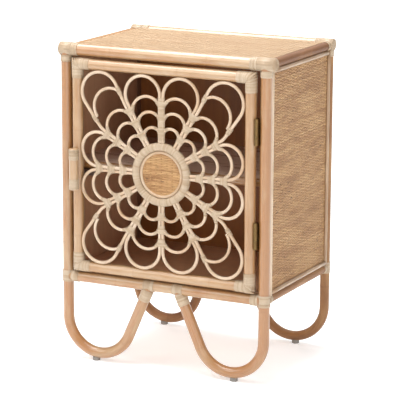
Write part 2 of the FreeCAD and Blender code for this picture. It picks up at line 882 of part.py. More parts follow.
def ring_parts():
    level = Vec(0, 1, 0)
    core = hoop(ring_radius, ring_core_radius, petal_cane_sides)
    wrapped = hoop(ring_radius, ring_wrap_radius, petal_cane_sides)
    rim_radius = ring_radius - ring_wrap_radius - rim_cane_radius
    rim = hoop(rim_radius, rim_cane_radius, petal_cane_sides)
    mat_front = grille_y - rim_cane_radius + disc_mat_setback
    mat = Part.makeCylinder(rim_radius, disc_mat_thickness, Vec(0, mat_front, door_middle), level)
    board_front = mat_front + disc_mat_thickness
    board_radius = ring_radius - ring_wrap_radius
    board = Part.makeCylinder(
        board_radius, disc_board_thickness, Vec(0, board_front, door_middle), level
    )
    return {
        "centre_ring": [core],
        "centre_ring_wrap": [wrapped.cut(core)],
        "disc_rim": [rim],
        "disc_board": [main_piece(less(board, rim, wrapped))],
        "disc_mat": [main_piece(less(mat, rim))],
    }


# ---- handle ------------------------------------------------------------------------------------------------
def handle_bar():
    low = Vec(-stile_x, handle_y, handle_height - handle_length / 2)
    bar = Part.makeCylinder(handle_radius, handle_length, low)
    rims = [edge for edge in bar.Edges if isinstance(edge.Curve, Part.Circle)]
    return less(bar.makeChamfer(handle_chamfer, rims), stile(-1))


def handle_bindings(bar, *inside):
    """Turns round the handle near each end, stopped by the stile that it lies on."""
    result = []
    for side in (-1, 1):
        middle = handle_height + side * (handle_length / 2 - handle_wrap_inset - handle_wrap_length / 2)
        low = Vec(-stile_x, handle_y, middle - handle_wrap_length / 2)
        band = Part.makeCylinder(handle_radius + handle_wrap, handle_wrap_length, low)
        result.append(main_piece(less(band, bar, *inside)))
    return result


def door_nails():
    """Nails through each stile into each rail, through the stile into the handle, and one for the
    strike plate."""
    reach = door_pole_radius - nail_sink
    result = []
    for side_x in (-1, 1):
        for side_z in (-1, 1):
            head = door_point(side_x * (stile_x + reach), side_z * door_rail_z)
            result.append(nail(head, Vec(-side_x, 0, 0), reach + door_pole_radius + nail_bite))
    spread = handle_length / 2 - handle_wrap_inset - handle_wrap_length / 2
    for side in (-1, 1):
        head = Vec(-stile_x, door_y + reach, handle_height + side * spread)
        result.append(nail(head, Vec(0, -1, 0), reach + door_pole_radius + handle_radius))
    head = Vec(-stile_x, door_back_y - hinge_recess + strike_thickness, strike_middle)
    result.append(nail(head, Vec(0, -1, 0), small_nail_bite, small_nail_side))
    return result


# ---- hinges ----------------------------------------------------------------------------------------------------
def hinge_leaf(height, side, first_knuckle):
    """A leaf with every second knuckle; side is +1 for the post's leaf and -1 for the stile's."""
    outer = side * knuckle_radius
    inner = side * (knuckle_radius - hinge_leaf_thickness)
    reach = sorted((hinge_x + outer, hinge_x + inner))
    low = height - hinge_length / 2
    plate = block(
        Vec(reach[0], hinge_y, low), Vec(reach[1], hinge_y + hinge_leaf_width, low + hinge_length)
    )
    barrel = Part.makeCylinder(knuckle_radius, hinge_length, Vec(hinge_x, hinge_y, low))
    leaf = plate.fuse(barrel)
    step = hinge_length / knuckles
    clearance = hinge_running_clearance if side < 0 else 0.0
    hollow = Part.makeCylinder(hinge_pin_radius + clearance, hinge_length, Vec(hinge_x, hinge_y, low))
    gaps = []
    for index in range(knuckles):
        if index % 2 == first_knuckle:
            continue
        start = low + index * step - (knuckle_end_gap if index else 0)
        end = low + (index + 1) * step + (knuckle_end_gap if index < knuckles - 1 else 0)
        sweep = knuckle_radius + knuckle_end_gap
        gaps.append(
            block(
                Vec(hinge_x - sweep, hinge_y - sweep, start), Vec(hinge_x + sweep, hinge_y + sweep, end)
            )
        )
    return less(leaf, hollow, *gaps)


def hinge_pin(height):
    low = height - hinge_length / 2
    shaft = Part.makeCylinder(hinge_pin_radius, hinge_length, Vec(hinge_x, hinge_y, low))
    head = Part.makeCylinder(
        hinge_pin_head_radius, hinge_leaf_thickness, Vec(hinge_x, hinge_y, low + hinge_length)
    )
    return shaft.fuse(head).removeSplitter()


def hinge_screws(height, side):
    """Two countersunk screws through a leaf into the middle of its pole."""
    face_x = hinge_x + side * (knuckle_radius - hinge_leaf_thickness)
    pole_y = front_y if side > 0 else door_y
    into = Vec(side, 0, 0)
    result = []
    for step in (-1, 1):
        face = Vec(face_x, pole_y, height + step * hinge_screw_spacing / 2)
        head = Part.makeCone(screw_head_radius, screw_radius, hinge_leaf_thickness, face, into)
        shank = Part.makeCylinder(screw_radius, hinge_screw_length, face, into)
        result.append(head.fuse(shank).removeSplitter())
    return result


# ---- magnetic catch ------------------------------------------------------------------------------------------------
catch_top = shelf_height - 2 * shelf_rail_radius
catch_middle_x = -(stile_x - catch_shift)
strike_middle = catch_top - catch_height / 2


def magnetic_catch():
    """A catch body under the shelf's front rail, its magnet just behind the stile's plate."""
    low = Vec(catch_middle_x - catch_width / 2, inside_front_y, catch_top - catch_height)
    whole = block(low, low + Vec(catch_width, catch_depth, catch_height + catch_seat))
    return less(whole, shelf_front_rail())


def catch_nails():
    """Two small nails up through the catch into the shelf's front rail."""
    return [
        nail(Vec(catch_middle_x + side * catch_nail_spacing / 2, shelf_rail_y, catch_top - catch_height),
             Vec(0, 0, 1), catch_height + small_nail_bite, small_nail_side)
        for side in (-1, 1)
    ]


def strike_plate():
    low = Vec(-stile_x - strike_width / 2, door_back_y - hinge_recess, strike_middle - strike_height / 2)
    return block(low, low + Vec(strike_width, strike_thickness, strike_height))


# ---- all nodes ----------------------------------------------------------------------------------------------------
def legs_and_rails(nodes):
    legs = {name: leg_post(name) for name in corners}
    nails = [item for name in corners for item in joint_nails(name)] + catch_nails()
    leaves = [hinge_leaf(height, 1, 0) for height in hinge_heights]
    screws = [item for height in hinge_heights for item in hinge_screws(height, 1)]
    for name in corners:
        taken = nails + leaves + screws if name == "front_right" else nails
        nodes[name + "_leg_post"] = [main_piece(less(legs[name], *taken))]
    for row in ("front", "rear"):
        nodes[row + "_top_rail"] = [less(top_lines[row], *nails)]
        blank = less(bottom_lines[row], *post_lines.values())
        nodes[row + "_bottom_rail"] = [main_piece(less(main_piece(blank), *nails))]
    for side in ("left", "right"):
        rail = less(side_top_lines[side], *top_lines.values(), *post_lines.values())
        nodes[side + "_top_rail"] = [main_piece(less(main_piece(rail), *nails))]
        rail = less(side_bottom_lines[side], *post_lines.values(), *bottom_lines.values())
        nodes[side + "_bottom_rail"] = [main_piece(less(main_piece(rail), *nails))]
    nodes["foot_glides"] = [less(foot_glide(name), legs[name], *nails) for name in corners]
    nodes["cabinet_nails"] = nails
    nodes["hinge_cabinet_leaves"] = [less(leaf, *screws) for leaf in leaves]
    nodes["hinge_cabinet_screws"] = screws
    nodes["hinge_pins"] = [hinge_pin(height) for height in hinge_heights]
    nodes["shelf_front_rail"] = [less(shelf_front_rail(), *nails)]
    nodes["magnetic_catch"] = [less(magnetic_catch(), *nails)]
    return legs


def panels(nodes):
    half_board = board_thickness / 2
    mat_face = half_board + mat_thickness
    for side in ("left", "right"):
        nodes[side + "_side_board"] = [side_layer(side, -half_board, half_board)]
    nodes["side_mats"] = [side_layer(side, half_board, mat_face) for side in ("left", "right")]
    nodes["side_strips"] = side_strips("left") + side_strips("right")
    back = back_layer(-half_board, half_board)
    nodes["back_board"] = [back]
    nodes["back_mat"] = [back_layer(half_board, mat_face)]
    nodes["back_strips"] = back_strips()
    top_mat_face = top_rail_height + front_top_rail_radius - top_mat_below_rail
    top_board_face = top_mat_face - mat_thickness
    uprights = nodes["left_side_board"] + nodes["right_side_board"] + [back]
    top_board = less(top_layer(top_board_face - top_board_thickness, top_board_face), *uprights)
    nodes["top_board"] = [main_piece(top_board)]
    wrapped_ends = [top_corner_binding(name) for name in corners]
    nodes["top_mat"] = [main_piece(less(top_layer(top_board_face, top_mat_face), *wrapped_ends))]
    nodes["floor_board"] = [floor_board()]
    nodes["shelf_board"] = [shelf_board()]
    nodes["shelf_cleats"] = shelf_cleats()


def case_bindings(nodes, legs):
    """The peel on the case's joints, fitted round all that is already there."""
    fitted = ("left_side_board", "right_side_board", "side_mats", "side_strips", "back_board", "back_mat",
              "back_strips", "top_board", "top_mat", "floor_board")
    taken = all_lines + [solid for name in fitted for solid in nodes[name]]
    nodes["rail_end_caps"] = [rail_end_cap(name) for name in corners]
    taken += nodes["rail_end_caps"]
    for key, make in (("top_corner_bindings", top_corner_binding),
                      ("bottom_corner_bindings", bottom_corner_binding),
                      ("arm_bindings", arm_binding)):
        nodes[key] = [main_piece(less(make(name), legs[name], *taken)) for name in corners]


def door(nodes):
    leaves = [hinge_leaf(height, -1, 1) for height in hinge_heights]
    screws = [item for height in hinge_heights for item in hinge_screws(height, -1)]
    nails = door_nails()
    nodes["hinge_stile"] = [main_piece(less(stile(1), *leaves, *screws, *nails))]
    nodes["latch_stile"] = [main_piece(less(stile(-1), strike_plate(), *nails))]
    nodes["door_top_rail"] = [main_piece(less(door_rail(1), *nails))]
    nodes["door_bottom_rail"] = [main_piece(less(door_rail(-1), *nails))]
    nodes["door_nails"] = nails
    nodes["door_corner_bindings"] = [
        main_piece(door_corner_binding(side_x, side_z)) for side_x in (-1, 1) for side_z in (-1, 1)
    ]
    nodes.update(grille_parts())
    nodes.update(ring_parts())
    bar = handle_bar()
    nodes["handle_bar"] = [less(bar, *nails)]
    around = [stile(-1), strike_plate()] + nodes["side_petals"] + nails
    nodes["handle_bindings"] = handle_bindings(bar, *around)
    nodes["hinge_door_leaves"] = [less(leaf, *screws) for leaf in leaves]
    nodes["hinge_door_screws"] = screws
    nodes["strike_plate"] = [less(strike_plate(), *nails)]


def build():
    """Every node's solids, by name."""
    nodes = {}
    legs = legs_and_rails(nodes)
    panels(nodes)
    case_bindings(nodes, legs)
    door(nodes)
    return nodes


def frame_shift():
    """Moves the origin to the floor, under the middle of the whole cabinet's outline."""
    left = left_x - front_rail_left_overhang - end_cap_rise
    right = right_x + front_rail_right_overhang + coiled_cap_rise
    front = handle_y - handle_radius - handle_wrap
    rear = rear_y + rear_top_rail_radius + wrap
    return Vec(-(left + right) / 2, -(front + rear) / 2, 0)


def main():
    os.makedirs("parts", exist_ok=True)
    shift = frame_shift()
    for name, solids in build().items():
        shape = solids[0] if len(solids) == 1 else Part.makeCompound(solids)
        shape = shape.copy()
        shape.translate(shift)
        shape.exportStep(os.path.join("parts", name + ".step"))


main()
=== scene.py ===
import math
import random

import bpy
import numpy as np
from mathutils import Matrix, Vector


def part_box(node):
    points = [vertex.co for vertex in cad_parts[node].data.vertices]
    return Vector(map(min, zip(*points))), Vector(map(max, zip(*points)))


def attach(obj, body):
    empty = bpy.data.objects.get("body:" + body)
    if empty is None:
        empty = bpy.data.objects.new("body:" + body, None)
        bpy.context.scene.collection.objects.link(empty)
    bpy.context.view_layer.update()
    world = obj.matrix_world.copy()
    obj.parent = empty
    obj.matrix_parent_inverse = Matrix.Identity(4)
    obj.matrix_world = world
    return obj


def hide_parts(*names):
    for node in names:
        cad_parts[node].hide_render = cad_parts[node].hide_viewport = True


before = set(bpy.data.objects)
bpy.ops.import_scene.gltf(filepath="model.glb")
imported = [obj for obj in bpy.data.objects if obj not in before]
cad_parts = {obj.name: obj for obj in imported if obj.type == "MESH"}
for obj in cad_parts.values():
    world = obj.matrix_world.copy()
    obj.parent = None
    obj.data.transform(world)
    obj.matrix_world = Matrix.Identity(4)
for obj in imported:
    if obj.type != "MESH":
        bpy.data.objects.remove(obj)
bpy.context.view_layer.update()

# A rattan bedside cabinet. Sizes are in millimetres from the middle of the case, and the
# door faces -Y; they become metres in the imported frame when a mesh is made.
MM = 0.001

# ---- sizes of the case --------------------------------------------------------------------
case_width = 425.0
case_depth = 289.0
bottom_rail_height = 166.0
top_rail_height = 616.0
side_top_rail_height = 614.0
front_post_radius = 10.75
rear_post_radius = 9.5
front_top_rail_radius = 11.75
rear_top_rail_radius = 10.5
side_top_rail_radius = 9.0
front_bottom_rail_radius = 10.5
rear_bottom_rail_radius = 9.5
side_bottom_rail_radius = 9.0
left_overhang = 12.0
right_overhang = 17.5
rear_overhang = 10.8
rail_tuck = 6.0               # how far short of its post's centre a rail's end stops
leg_bend_radius = 70.0
arm_head_offset = 31.0
arm_stop = 3.0
glide_height = 5.0
board_thickness = 6.0
mat_thickness = 1.5
mat_tuck = 1.0                # how far a mat's edge runs in under its frame
top_mat_tuck = 4.0
top_mat_face = 622.0
shelf_height = 396.0
shelf_rail_radius = 8.0
strip_radius = 4.5
fit_gap = 0.05

# ---- sizes of the bindings ----------------------------------------------------------------
wrap = 1.2                    # how thick a binding is, as door_corner_wrap and handle_wrap are
turn_share = 0.95             # a turn's thickness, as a part of its binding's
case_turn_radius = 10.5       # turns are made at one radius, then scaled to their seats
case_turn_width = 3.7
turn_pitch = 3.2              # between turns along a sleeve
turn_sink = 0.1
thick_turn_steps = 24
thick_turn_lean = 0.02        # radians, as the other leans are
rail_end_wrap_length = 16.0
front_right_wrap_length = 31.0
post_top_wrap_length = 12.0
bottom_wrap_length = 15.0
bottom_wrap_height = 11.0
arm_rail_wrap = 11.0
arm_wrap_length = 22.0
side_wrap_length = 10.0
band_width = 5.2              # of the peel that is laid lengthwise on a rail's end
ring_zone = 14.0              # the turns that hold the inner ends of that peel
ring_zone_lap = 2.0
end_cap_rise = 0.8
coiled_cap_rise = 4.5

# ---- sizes of the door --------------------------------------------------------------------
door_pole_radius = 10.75
door_rail_radius = 10.5
door_side_gap = 6.75
door_top_gap = 3.5
door_bottom_gap = 3.75
door_setting = 6.0
door_rail_tuck = 5.0
door_corner_wrap_length = 38.0
door_corner_wrap = 1.0
grille_setting = 6.0
petal_cane_radius = 3.25
arch_cane_radius = 3.0
petal_count = 12
ring_radius = 54.0
ring_wrap_radius = 8.0
ring_peel = 0.75              # how far the ring's core lies under the outside of its wrap
ring_turn_count = 132
ring_turn_width = 3.0
ring_turn_thickness = 0.7
ring_turn_lean = 0.035
rim_cane_radius = 3.0
disc_mat_thickness = 1.2
disc_mat_setback = 1.8
disc_mat_gap = 0.5
arch_rows = 3
last_row_gap = 19.0
arch_meeting_angle = 28.0
corner_petal_gap = 10.0
corner_kink_gap = 47.0
corner_kink_radius = 30.0
corner_arch_tighter = 2.5
corner_arch_tip_gap = 38.5
spoke_wrap_length = 16.0
spoke_wrap_shift = 1.3
spoke_wrap_turns = 6
corner_arch_wrap_length = 14.0
arch_tie_places = (9.0, 11.6, 14.2)     # the three turns near each end of an arch
arch_tie_width = 0.95
corner_arch_turn_radius = 4.0
corner_arch_turn_pitch = 2.6
arch_turn_room = 0.6
full_sleeve_pitch = 2.75
thin_turn_width = 2.9
thin_turn_thickness = 1.1
thin_turn_steps = 16
thin_turn_lean = 0.06
handle_radius = 9.0
handle_length = 82.0
handle_drop = 4.8
handle_wrap_length = 20.5
handle_wrap_inset = 1.5
handle_wrap = 0.9
handle_turn_width = 3.3
handle_seat = 0.5

# ---- places worked out from the sizes -----------------------------------------------------
left_x, right_x = -case_width / 2, case_width / 2
front_y, rear_y = -case_depth / 2, case_depth / 2
door_y = front_y - door_setting
grille_y = door_y - grille_setting
door_half_width = case_width / 2 - front_post_radius - door_side_gap
door_top = top_rail_height - front_top_rail_radius - door_top_gap
door_bottom = bottom_rail_height + front_bottom_rail_radius + door_bottom_gap
door_middle = (door_top + door_bottom) / 2
door_half_height = (door_top - door_bottom) / 2
stile_x = door_half_width - door_pole_radius
door_rail_z = door_half_height - door_rail_radius
cane_offset = petal_cane_radius + fit_gap
handle_y = door_y - door_pole_radius - handle_radius + handle_seat
handle_height = door_middle - handle_drop
inside_x = case_width / 2 - board_thickness / 2

rail_low, rail_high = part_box("front_bottom_rail")
rail_centre = (rail_low + rail_high) / (2 * MM)
shift = np.array([rail_centre.x, rail_centre.y - front_y, 0.0])

corners = {
    "front_left": (left_x, front_y, front_post_radius),
    "front_right": (right_x, front_y, front_post_radius),
    "rear_left": (left_x, rear_y, rear_post_radius),
    "rear_right": (right_x, rear_y, rear_post_radius),
}
top_rail_radii = {"front": front_top_rail_radius, "rear": rear_top_rail_radius}
bottom_rail_radii = {"front": front_bottom_rail_radius, "rear": rear_bottom_rail_radius}


# ---- camera and light ---------------------------------------------------------------------
camera_angles = (26.58, 12.63, 0.265)             # yaw, pitch and roll in degrees
camera_aim = (0, front_y, -2582.9)
camera_offset = (-0.1917, -6.7085, 10.9439)       # sideways, up and along its look, in case widths


def show(thing):
    bpy.context.scene.collection.objects.link(thing)


def aim_camera():
    """A long lens at the front right of the cabinet, a little above it."""
    yaw, pitch, roll = (math.radians(angle) for angle in camera_angles)
    right = Vector((math.cos(yaw), math.sin(yaw), 0))
    ahead = Vector((-math.sin(yaw), math.cos(yaw), 0))
    up = Vector((0, 0, 1))
    look = ahead * math.cos(pitch) - up * math.sin(pitch)
    over = ahead * math.sin(pitch) + up * math.cos(pitch)
    side = right * math.cos(roll) + over * math.sin(roll)
    top = over * math.cos(roll) - right * math.sin(roll)
    sideways, upwards, along = camera_offset
    offset = (side * sideways + top * upwards + look * along) * case_width
    place = Vector(camera_aim) - offset
    turn = Matrix((side, top, -look)).transposed().to_4x4()
    camera = bpy.data.objects.new("camera", bpy.data.cameras.new("camera"))
    camera.data.lens = 189.0
    camera.data.sensor_width = 36.0
    camera.data.clip_end = 100.0
    camera.matrix_world = Matrix.Translation((place + Vector(shift)) * MM) @ turn
    show(camera)
    bpy.context.scene.camera = camera


def add_light(name, place, target, size, power, colour):
    lamp = bpy.data.lights.new(name, "AREA")
    lamp.shape = "RECTANGLE"
    lamp.size, lamp.size_y = size
    lamp.energy = power
    lamp.color = colour
    holder = bpy.data.objects.new(name, lamp)
    holder.location = place
    holder.rotation_euler = (Vector(target) - Vector(place)).to_track_quat("-Z", "Y").to_euler()
    show(holder)


def light_studio():
    world = bpy.data.worlds.new("studio")
    world.use_nodes = True
    background = world.node_tree.nodes["Background"]
    background.inputs["Color"].default_value = (1.0, 0.99, 0.98, 1)
    background.inputs["Strength"].default_value = 0.5
    bpy.context.scene.world = world
    bpy.context.scene.view_settings.view_transform = "Standard"
    middle = (0, 0, 0.35)
    add_light("key_light", (-1.5, -2.2, 1.9), middle, (1.8, 1.4), 31, (1, 0.985, 0.96))
    add_light("side_light", (2.4, -1.0, 1.3), middle, (0.5, 1.6), 14, (1, 0.98, 0.95))
    add_light("front_light", (1.7, -3.2, 0.6), middle, (1.6, 1.0), 17, (1, 0.98, 0.95))
    add_light("top_light", (-0.45, -0.1, 2.4), middle, (1.7, 1.7), 78, (1, 1, 1))
    add_light("rear_light", (0.4, 4.6, 3.6), (0.4, 4.2, 0), (5.0, 2.5), 80, (1, 1, 1))


# ---- node trees ---------------------------------------------------------------------------
class Field:
    """A value on its way through a node tree, with plain arithmetic."""

    def __init__(self, bench, socket):
        self.bench, self.socket = bench, socket

    def __add__(self, other):
        return self.bench.math("ADD", self, other)

    def __sub__(self, other):
        return self.bench.math("SUBTRACT", self, other)

    def __rsub__(self, other):
        return self.bench.math("SUBTRACT", other, self)

    def __mul__(self, other):
        return self.bench.math("MULTIPLY", self, other)

    def __truediv__(self, other):
        return self.bench.math("DIVIDE", self, other)


class Bench:
    """Places nodes in a tree and joins them."""

    def __init__(self, tree):
        self.tree = tree

    def join(self, value, socket):
        """Links a field to a socket, or sets a constant on it."""
        if isinstance(value, Field):
            self.tree.links.new(value.socket, socket)
        else:
            socket.default_value = value

    def add(self, kind, links=None, **settings):
        node = self.tree.nodes.new(kind)
        for key, value in settings.items():
            setattr(node, key, value)
        for key, value in (links or {}).items():
            self.join(value, node.inputs[key])
        return node

    def out(self, kind, links=None, output=0, **settings):
        """One output of a new node, the first unless another is named."""
        return Field(self, self.add(kind, links, **settings).outputs[output])

    def math(self, operation, *values):
        return self.out("ShaderNodeMath", dict(enumerate(values)), operation=operation)

    def vector(self, operation, *values):
        return self.out("ShaderNodeVectorMath", dict(enumerate(values)), operation=operation)

    def combine(self, x, y, z):
        return self.out("ShaderNodeCombineXYZ", {0: x, 1: y, 2: z})


class Shaper(Bench):
    """A Geometry Nodes tree with its sizes, whole numbers and finish as named inputs."""

    def __init__(self, name, *sizes, counts=("Seed",)):
        super().__init__(bpy.data.node_groups.new(name, "GeometryNodeTree"))
        inputs = [("Geometry", "Geometry"), ("Finish", "Material")]
        inputs += [(size, "Float") for size in sizes] + [(count, "Int") for count in counts]
        sockets = self.tree.interface
        for label, kind in inputs:
            sockets.new_socket(label, in_out="INPUT", socket_type="NodeSocket" + kind)
        sockets.new_socket("Geometry", in_out="OUTPUT", socket_type="NodeSocketGeometry")
        self.given = {socket.name: Field(self, socket) for socket in self.add("NodeGroupInput").outputs}
        self.place = self.out("GeometryNodeInputPosition")
        parts = self.add("ShaderNodeSeparateXYZ", {0: self.place}).outputs
        self.x, self.y = Field(self, parts[0]), Field(self, parts[1])

    def grid(self, columns, rows):
        sizes = {"Size X": 1.0, "Size Y": 1.0, "Vertices X": columns, "Vertices Y": rows}
        return self.out("GeometryNodeMeshGrid", sizes)

    def shape(self, mesh, position, weld):
        """Moves a mesh's points to a position and welds the points that meet."""
        moved = self.out("GeometryNodeSetPosition", {"Geometry": mesh, "Position": position})
        return self.out("GeometryNodeMergeByDistance", {"Geometry": moved, "Distance": weld})

    def drop(self, mesh, chosen, domain, mode):
        links = {"Geometry": mesh, "Selection": chosen}
        return self.out("GeometryNodeDeleteGeometry", links, domain=domain, mode=mode)

    def named(self, name, kind):
        return self.out("GeometryNodeInputNamedAttribute", {0: name}, "Attribute", data_type=kind)

    def store(self, geometry, name, kind, domain, value):
        links = {"Geometry": geometry, "Name": name, "Value": value}
        return self.out("GeometryNodeStoreNamedAttribute", links, data_type=kind, domain=domain)

    def random(self, kind, low, high, seed, identity=None):
        node = self.add("FunctionNodeRandomValue", data_type=kind)
        ends = [socket for socket in node.inputs if socket.enabled]
        ends[0].default_value, ends[1].default_value = low, high
        if identity is not None:
            self.join(identity, node.inputs["ID"])
        self.join(seed, node.inputs["Seed"])
        return Field(self, next(socket for socket in node.outputs if socket.enabled))

    def finish(self, geometry):
        """Realizes what the tree made, smooths it and gives it its finish."""
        real = self.out("GeometryNodeRealizeInstances", {"Geometry": geometry})
        smooth = self.out("GeometryNodeSetShadeSmooth", {"Geometry": real})
        links = {"Geometry": smooth, "Material": self.given["Finish"]}
        self.add("NodeGroupOutput", {"Geometry": self.out("GeometryNodeSetMaterial", links)})
        return self.tree


def peel_turn_tree():
    """One closed turn of flat peel on every point, round the point's own axis."""
    section_steps = 6
    edge_roundness = 0.35
    weld = 1e-6
    tree = Shaper("peel_turns", "Turn Radius", "Peel Width", "Peel Thickness", "Wobble",
                  counts=("Steps Round", "Seed"))
    given = tree.given
    around, section = tree.x * math.tau, tree.y * math.tau
    lift = tree.math("MULTIPLY_ADD", tree.math("SINE", section), 0.5, 0.5)
    reach = tree.math("MULTIPLY_ADD", lift, given["Peel Thickness"], given["Turn Radius"])
    swing = tree.math("COSINE", section)
    square = tree.math("SIGN", swing) * tree.math("POWER", tree.math("ABSOLUTE", swing), edge_roundness)
    bent = tree.combine(reach * tree.math("COSINE", around), reach * tree.math("SINE", around),
                        square * (given["Peel Width"] * -0.5))
    turn = tree.shape(tree.grid(given["Steps Round"] + 1.0, section_steps + 1), bent, weld)
    turn = tree.store(turn, "grain", "FLOAT_VECTOR", "POINT", tree.place)

    aligned = "FunctionNodeAlignRotationToVector"
    facing = tree.out(aligned, {"Vector": tree.named("turn_axis", "FLOAT_VECTOR")}, axis="Z")
    facing = tree.out(aligned, {"Rotation": facing, "Vector": (0, 1, 0)}, axis="Y", pivot_axis="Z")
    lean = tree.random("FLOAT_VECTOR", (-1, -1, 0), (1, 1, 0), given["Seed"])
    lean = tree.out("ShaderNodeVectorMath", {0: lean, "Scale": given["Wobble"]}, operation="SCALE")
    lean = tree.out("FunctionNodeEulerToRotation", {0: lean})
    links = {"Rotation": facing, "Rotate By": lean}
    facing = tree.out("FunctionNodeRotateRotation", links, rotation_space="LOCAL")
    size = tree.named("turn_size", "FLOAT_VECTOR")
    links = {"Points": given["Geometry"], "Instance": turn, "Rotation": facing, "Scale": size}
    turns = tree.out("GeometryNodeInstanceOnPoints", links)
    tone = tree.random("FLOAT", 0.0, 1.0, given["Seed"])
    return tree.finish(tree.store(turns, "tone", "FLOAT", "INSTANCE", tone))


def woven_mat_tree():
    """A plain weave: flat weft strands over and under upright warp, in a rectangle or a disc."""
    section_steps = 4
    ring_count = section_steps + 1.0
    steps_between_warps = 3.0
    uneven_pitch = 0.14
    uneven_width = (0.88, 1.08)
    least_weft, least_warp = 1e-8, 1e-6
    tree = Shaper("woven_mat", "Run", "Rise", "Weft Pitch", "Weft Width", "Warp Pitch", "Warp Width",
                  "Strand Thickness", "Wave", "Disc Radius")
    given = tree.given
    whole_run, rise, radius, seed = (given[key] for key in ("Run", "Rise", "Disc Radius", "Seed"))
    weft_pitch, warp_pitch = given["Weft Pitch"], given["Warp Pitch"]
    is_disc = tree.math("GREATER_THAN", radius, 0.0)

    def half_chord(offset, least):
        return tree.math("SQRT", tree.math("MAXIMUM", radius * radius - offset * offset, least))

    def by_outline(on_disc, on_rectangle):
        return tree.math("MULTIPLY_ADD", 1.0 - is_disc, on_rectangle, on_disc * is_disc)

    # the weft: a grid of rings that is cut between strands, and each strand rolled to a tube
    columns = tree.math("ROUND", whole_run * steps_between_warps / warp_pitch)
    lines = tree.math("FLOOR", rise / weft_pitch) * ring_count
    line = tree.math("ROUND", (tree.y + 0.5) * (lines - 1.0))
    row = tree.math("FLOOR", (line + 0.5) / ring_count)
    cells = tree.store(tree.grid(columns + 1.0, lines), "row", "FLOAT", "POINT", row)
    links = {0: tree.named("row", "FLOAT")}
    mean_row = tree.out("GeometryNodeFieldOnDomain", links, domain="FACE", data_type="FLOAT")
    between = tree.math("GREATER_THAN", tree.math("PINGPONG", mean_row, 0.5), 0.01)
    cells = tree.drop(cells, between, "FACE", "ONLY_FACE")
    loose = tree.math("LESS_THAN", tree.out("GeometryNodeInputMeshEdgeNeighbors"), 0.5)
    cells = tree.drop(cells, loose, "EDGE", "EDGE_FACE")
    section = (line - row * ring_count) * (math.tau / section_steps)
    drift = tree.random("FLOAT", -uneven_pitch, uneven_pitch, seed, row)
    plump = tree.random("FLOAT", *uneven_width, seed + 1.0, row)
    level = (row + 0.5 + drift) * weft_pitch - rise * 0.5
    half = by_outline(half_chord(level, least_weft), whole_run * 0.5)
    even_run = tree.x * whole_run
    run = tree.math("MAXIMUM", tree.math("MINIMUM", even_run, half), half * -1.0)
    inner = tree.math("LESS_THAN", tree.math("ABSOLUTE", even_run), half - 1e-5)
    phase = tree.math("MULTIPLY_ADD", row, math.pi, run / warp_pitch * math.pi)
    wave = tree.math("COSINE", phase) * given["Wave"]
    thick = given["Strand Thickness"] * 0.5 * inner
    wide = given["Weft Width"] * 0.5 * plump * inner
    woven = tree.combine(run, tree.math("MULTIPLY_ADD", tree.math("SINE", section), thick, wave),
                         tree.math("MULTIPLY_ADD", tree.math("COSINE", section), wide, level))
    tone = tree.random("FLOAT", 0.0, 1.0, seed + 2.0, row)
    weft = tree.shape(tree.store(cells, "tone", "FLOAT", "POINT", tone), woven, 2e-6)

    # the warp: one upright strand on every point of a line
    turn = tree.y * math.tau
    upright = tree.combine(tree.math("COSINE", turn) * (given["Warp Width"] * 0.5),
                           tree.math("SINE", turn) * (given["Strand Thickness"] * -0.4), tree.x * -1.0)
    stake = tree.shape(tree.grid(2, section_steps + 1), upright, 1e-7)
    count = tree.math("FLOOR", whole_run / warp_pitch)
    start = tree.math("FLOOR", count * 0.5) * warp_pitch
    links = {"Count": count + 1.0, "Start Location": tree.combine(start * -1.0, 0.0, 0.0),
             "Offset": tree.combine(warp_pitch, 0.0, 0.0)}
    places = tree.out("GeometryNodeMeshLine", links, mode="OFFSET")
    tall = by_outline(half_chord(tree.x, least_warp) * 2.0, rise)
    links = {"Points": places, "Instance": stake, "Scale": tree.combine(1.0, 1.0, tall)}
    warp = tree.out("GeometryNodeInstanceOnPoints", links)
    tone = tree.random("FLOAT", 0.8, 1.0, seed + 3.0)
    warp = tree.store(warp, "tone", "FLOAT", "INSTANCE", tone)

    both = tree.add("GeometryNodeJoinGeometry")
    for strands in (weft, warp):
        tree.join(strands, both.inputs[0])
    return tree.finish(tree.store(Field(tree, both.outputs[0]), "grain", "FLOAT_VECTOR", "POINT", tree.place))


def run_tree(tree, name, values, source=None):
    """The plain mesh that a tree makes from its named inputs."""
    source = source or bpy.data.meshes.new(name + "_blank")
    holder = bpy.data.objects.new(name + "_blank", source)
    show(holder)
    modifier = holder.modifiers.new(name, "NODES")
    modifier.node_group = tree
    for item in tree.interface.items_tree:
        if item.item_type == "SOCKET" and item.in_out == "INPUT" and item.name in values:
            modifier[item.identifier] = values[item.name]
    view = bpy.context.evaluated_depsgraph_get()
    mesh = bpy.data.meshes.new_from_object(holder.evaluated_get(view))
    bpy.data.objects.remove(holder)
    mesh.name = name
    return mesh


# ---- meshes -------------------------------------------------------------------------------
inside_shade_margin = 4.0            # painted shade on the case poles' inner faces starts this far behind the front and runs this far up
inside_shade_rail_margin = 3.0


def is_inside(points):
    """Which points face the inside of the case."""
    x, y, z = points.T
    inside = (np.abs(x) < inside_x) & (y < rear_y) & (y > front_y + inside_shade_margin)
    return inside & (z > bottom_rail_height + inside_shade_rail_margin) & (z < top_rail_height + inside_shade_margin)


def keep_on_points(mesh, name, kind, values):
    attribute = mesh.attributes.new(name, kind, "POINT")
    key = "vector" if kind == "FLOAT_VECTOR" else "value"
    attribute.data.foreach_set(key, values.astype(np.float32).ravel())


def fit(name, mesh, body, slot, *nodes):
    """Makes a piece of a mesh that rides on its body, and hides the solids it stands for. slot is not used.
    """
    piece = bpy.data.objects.new(name, mesh)
    show(piece)
    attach(piece, body)
    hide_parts(*nodes)


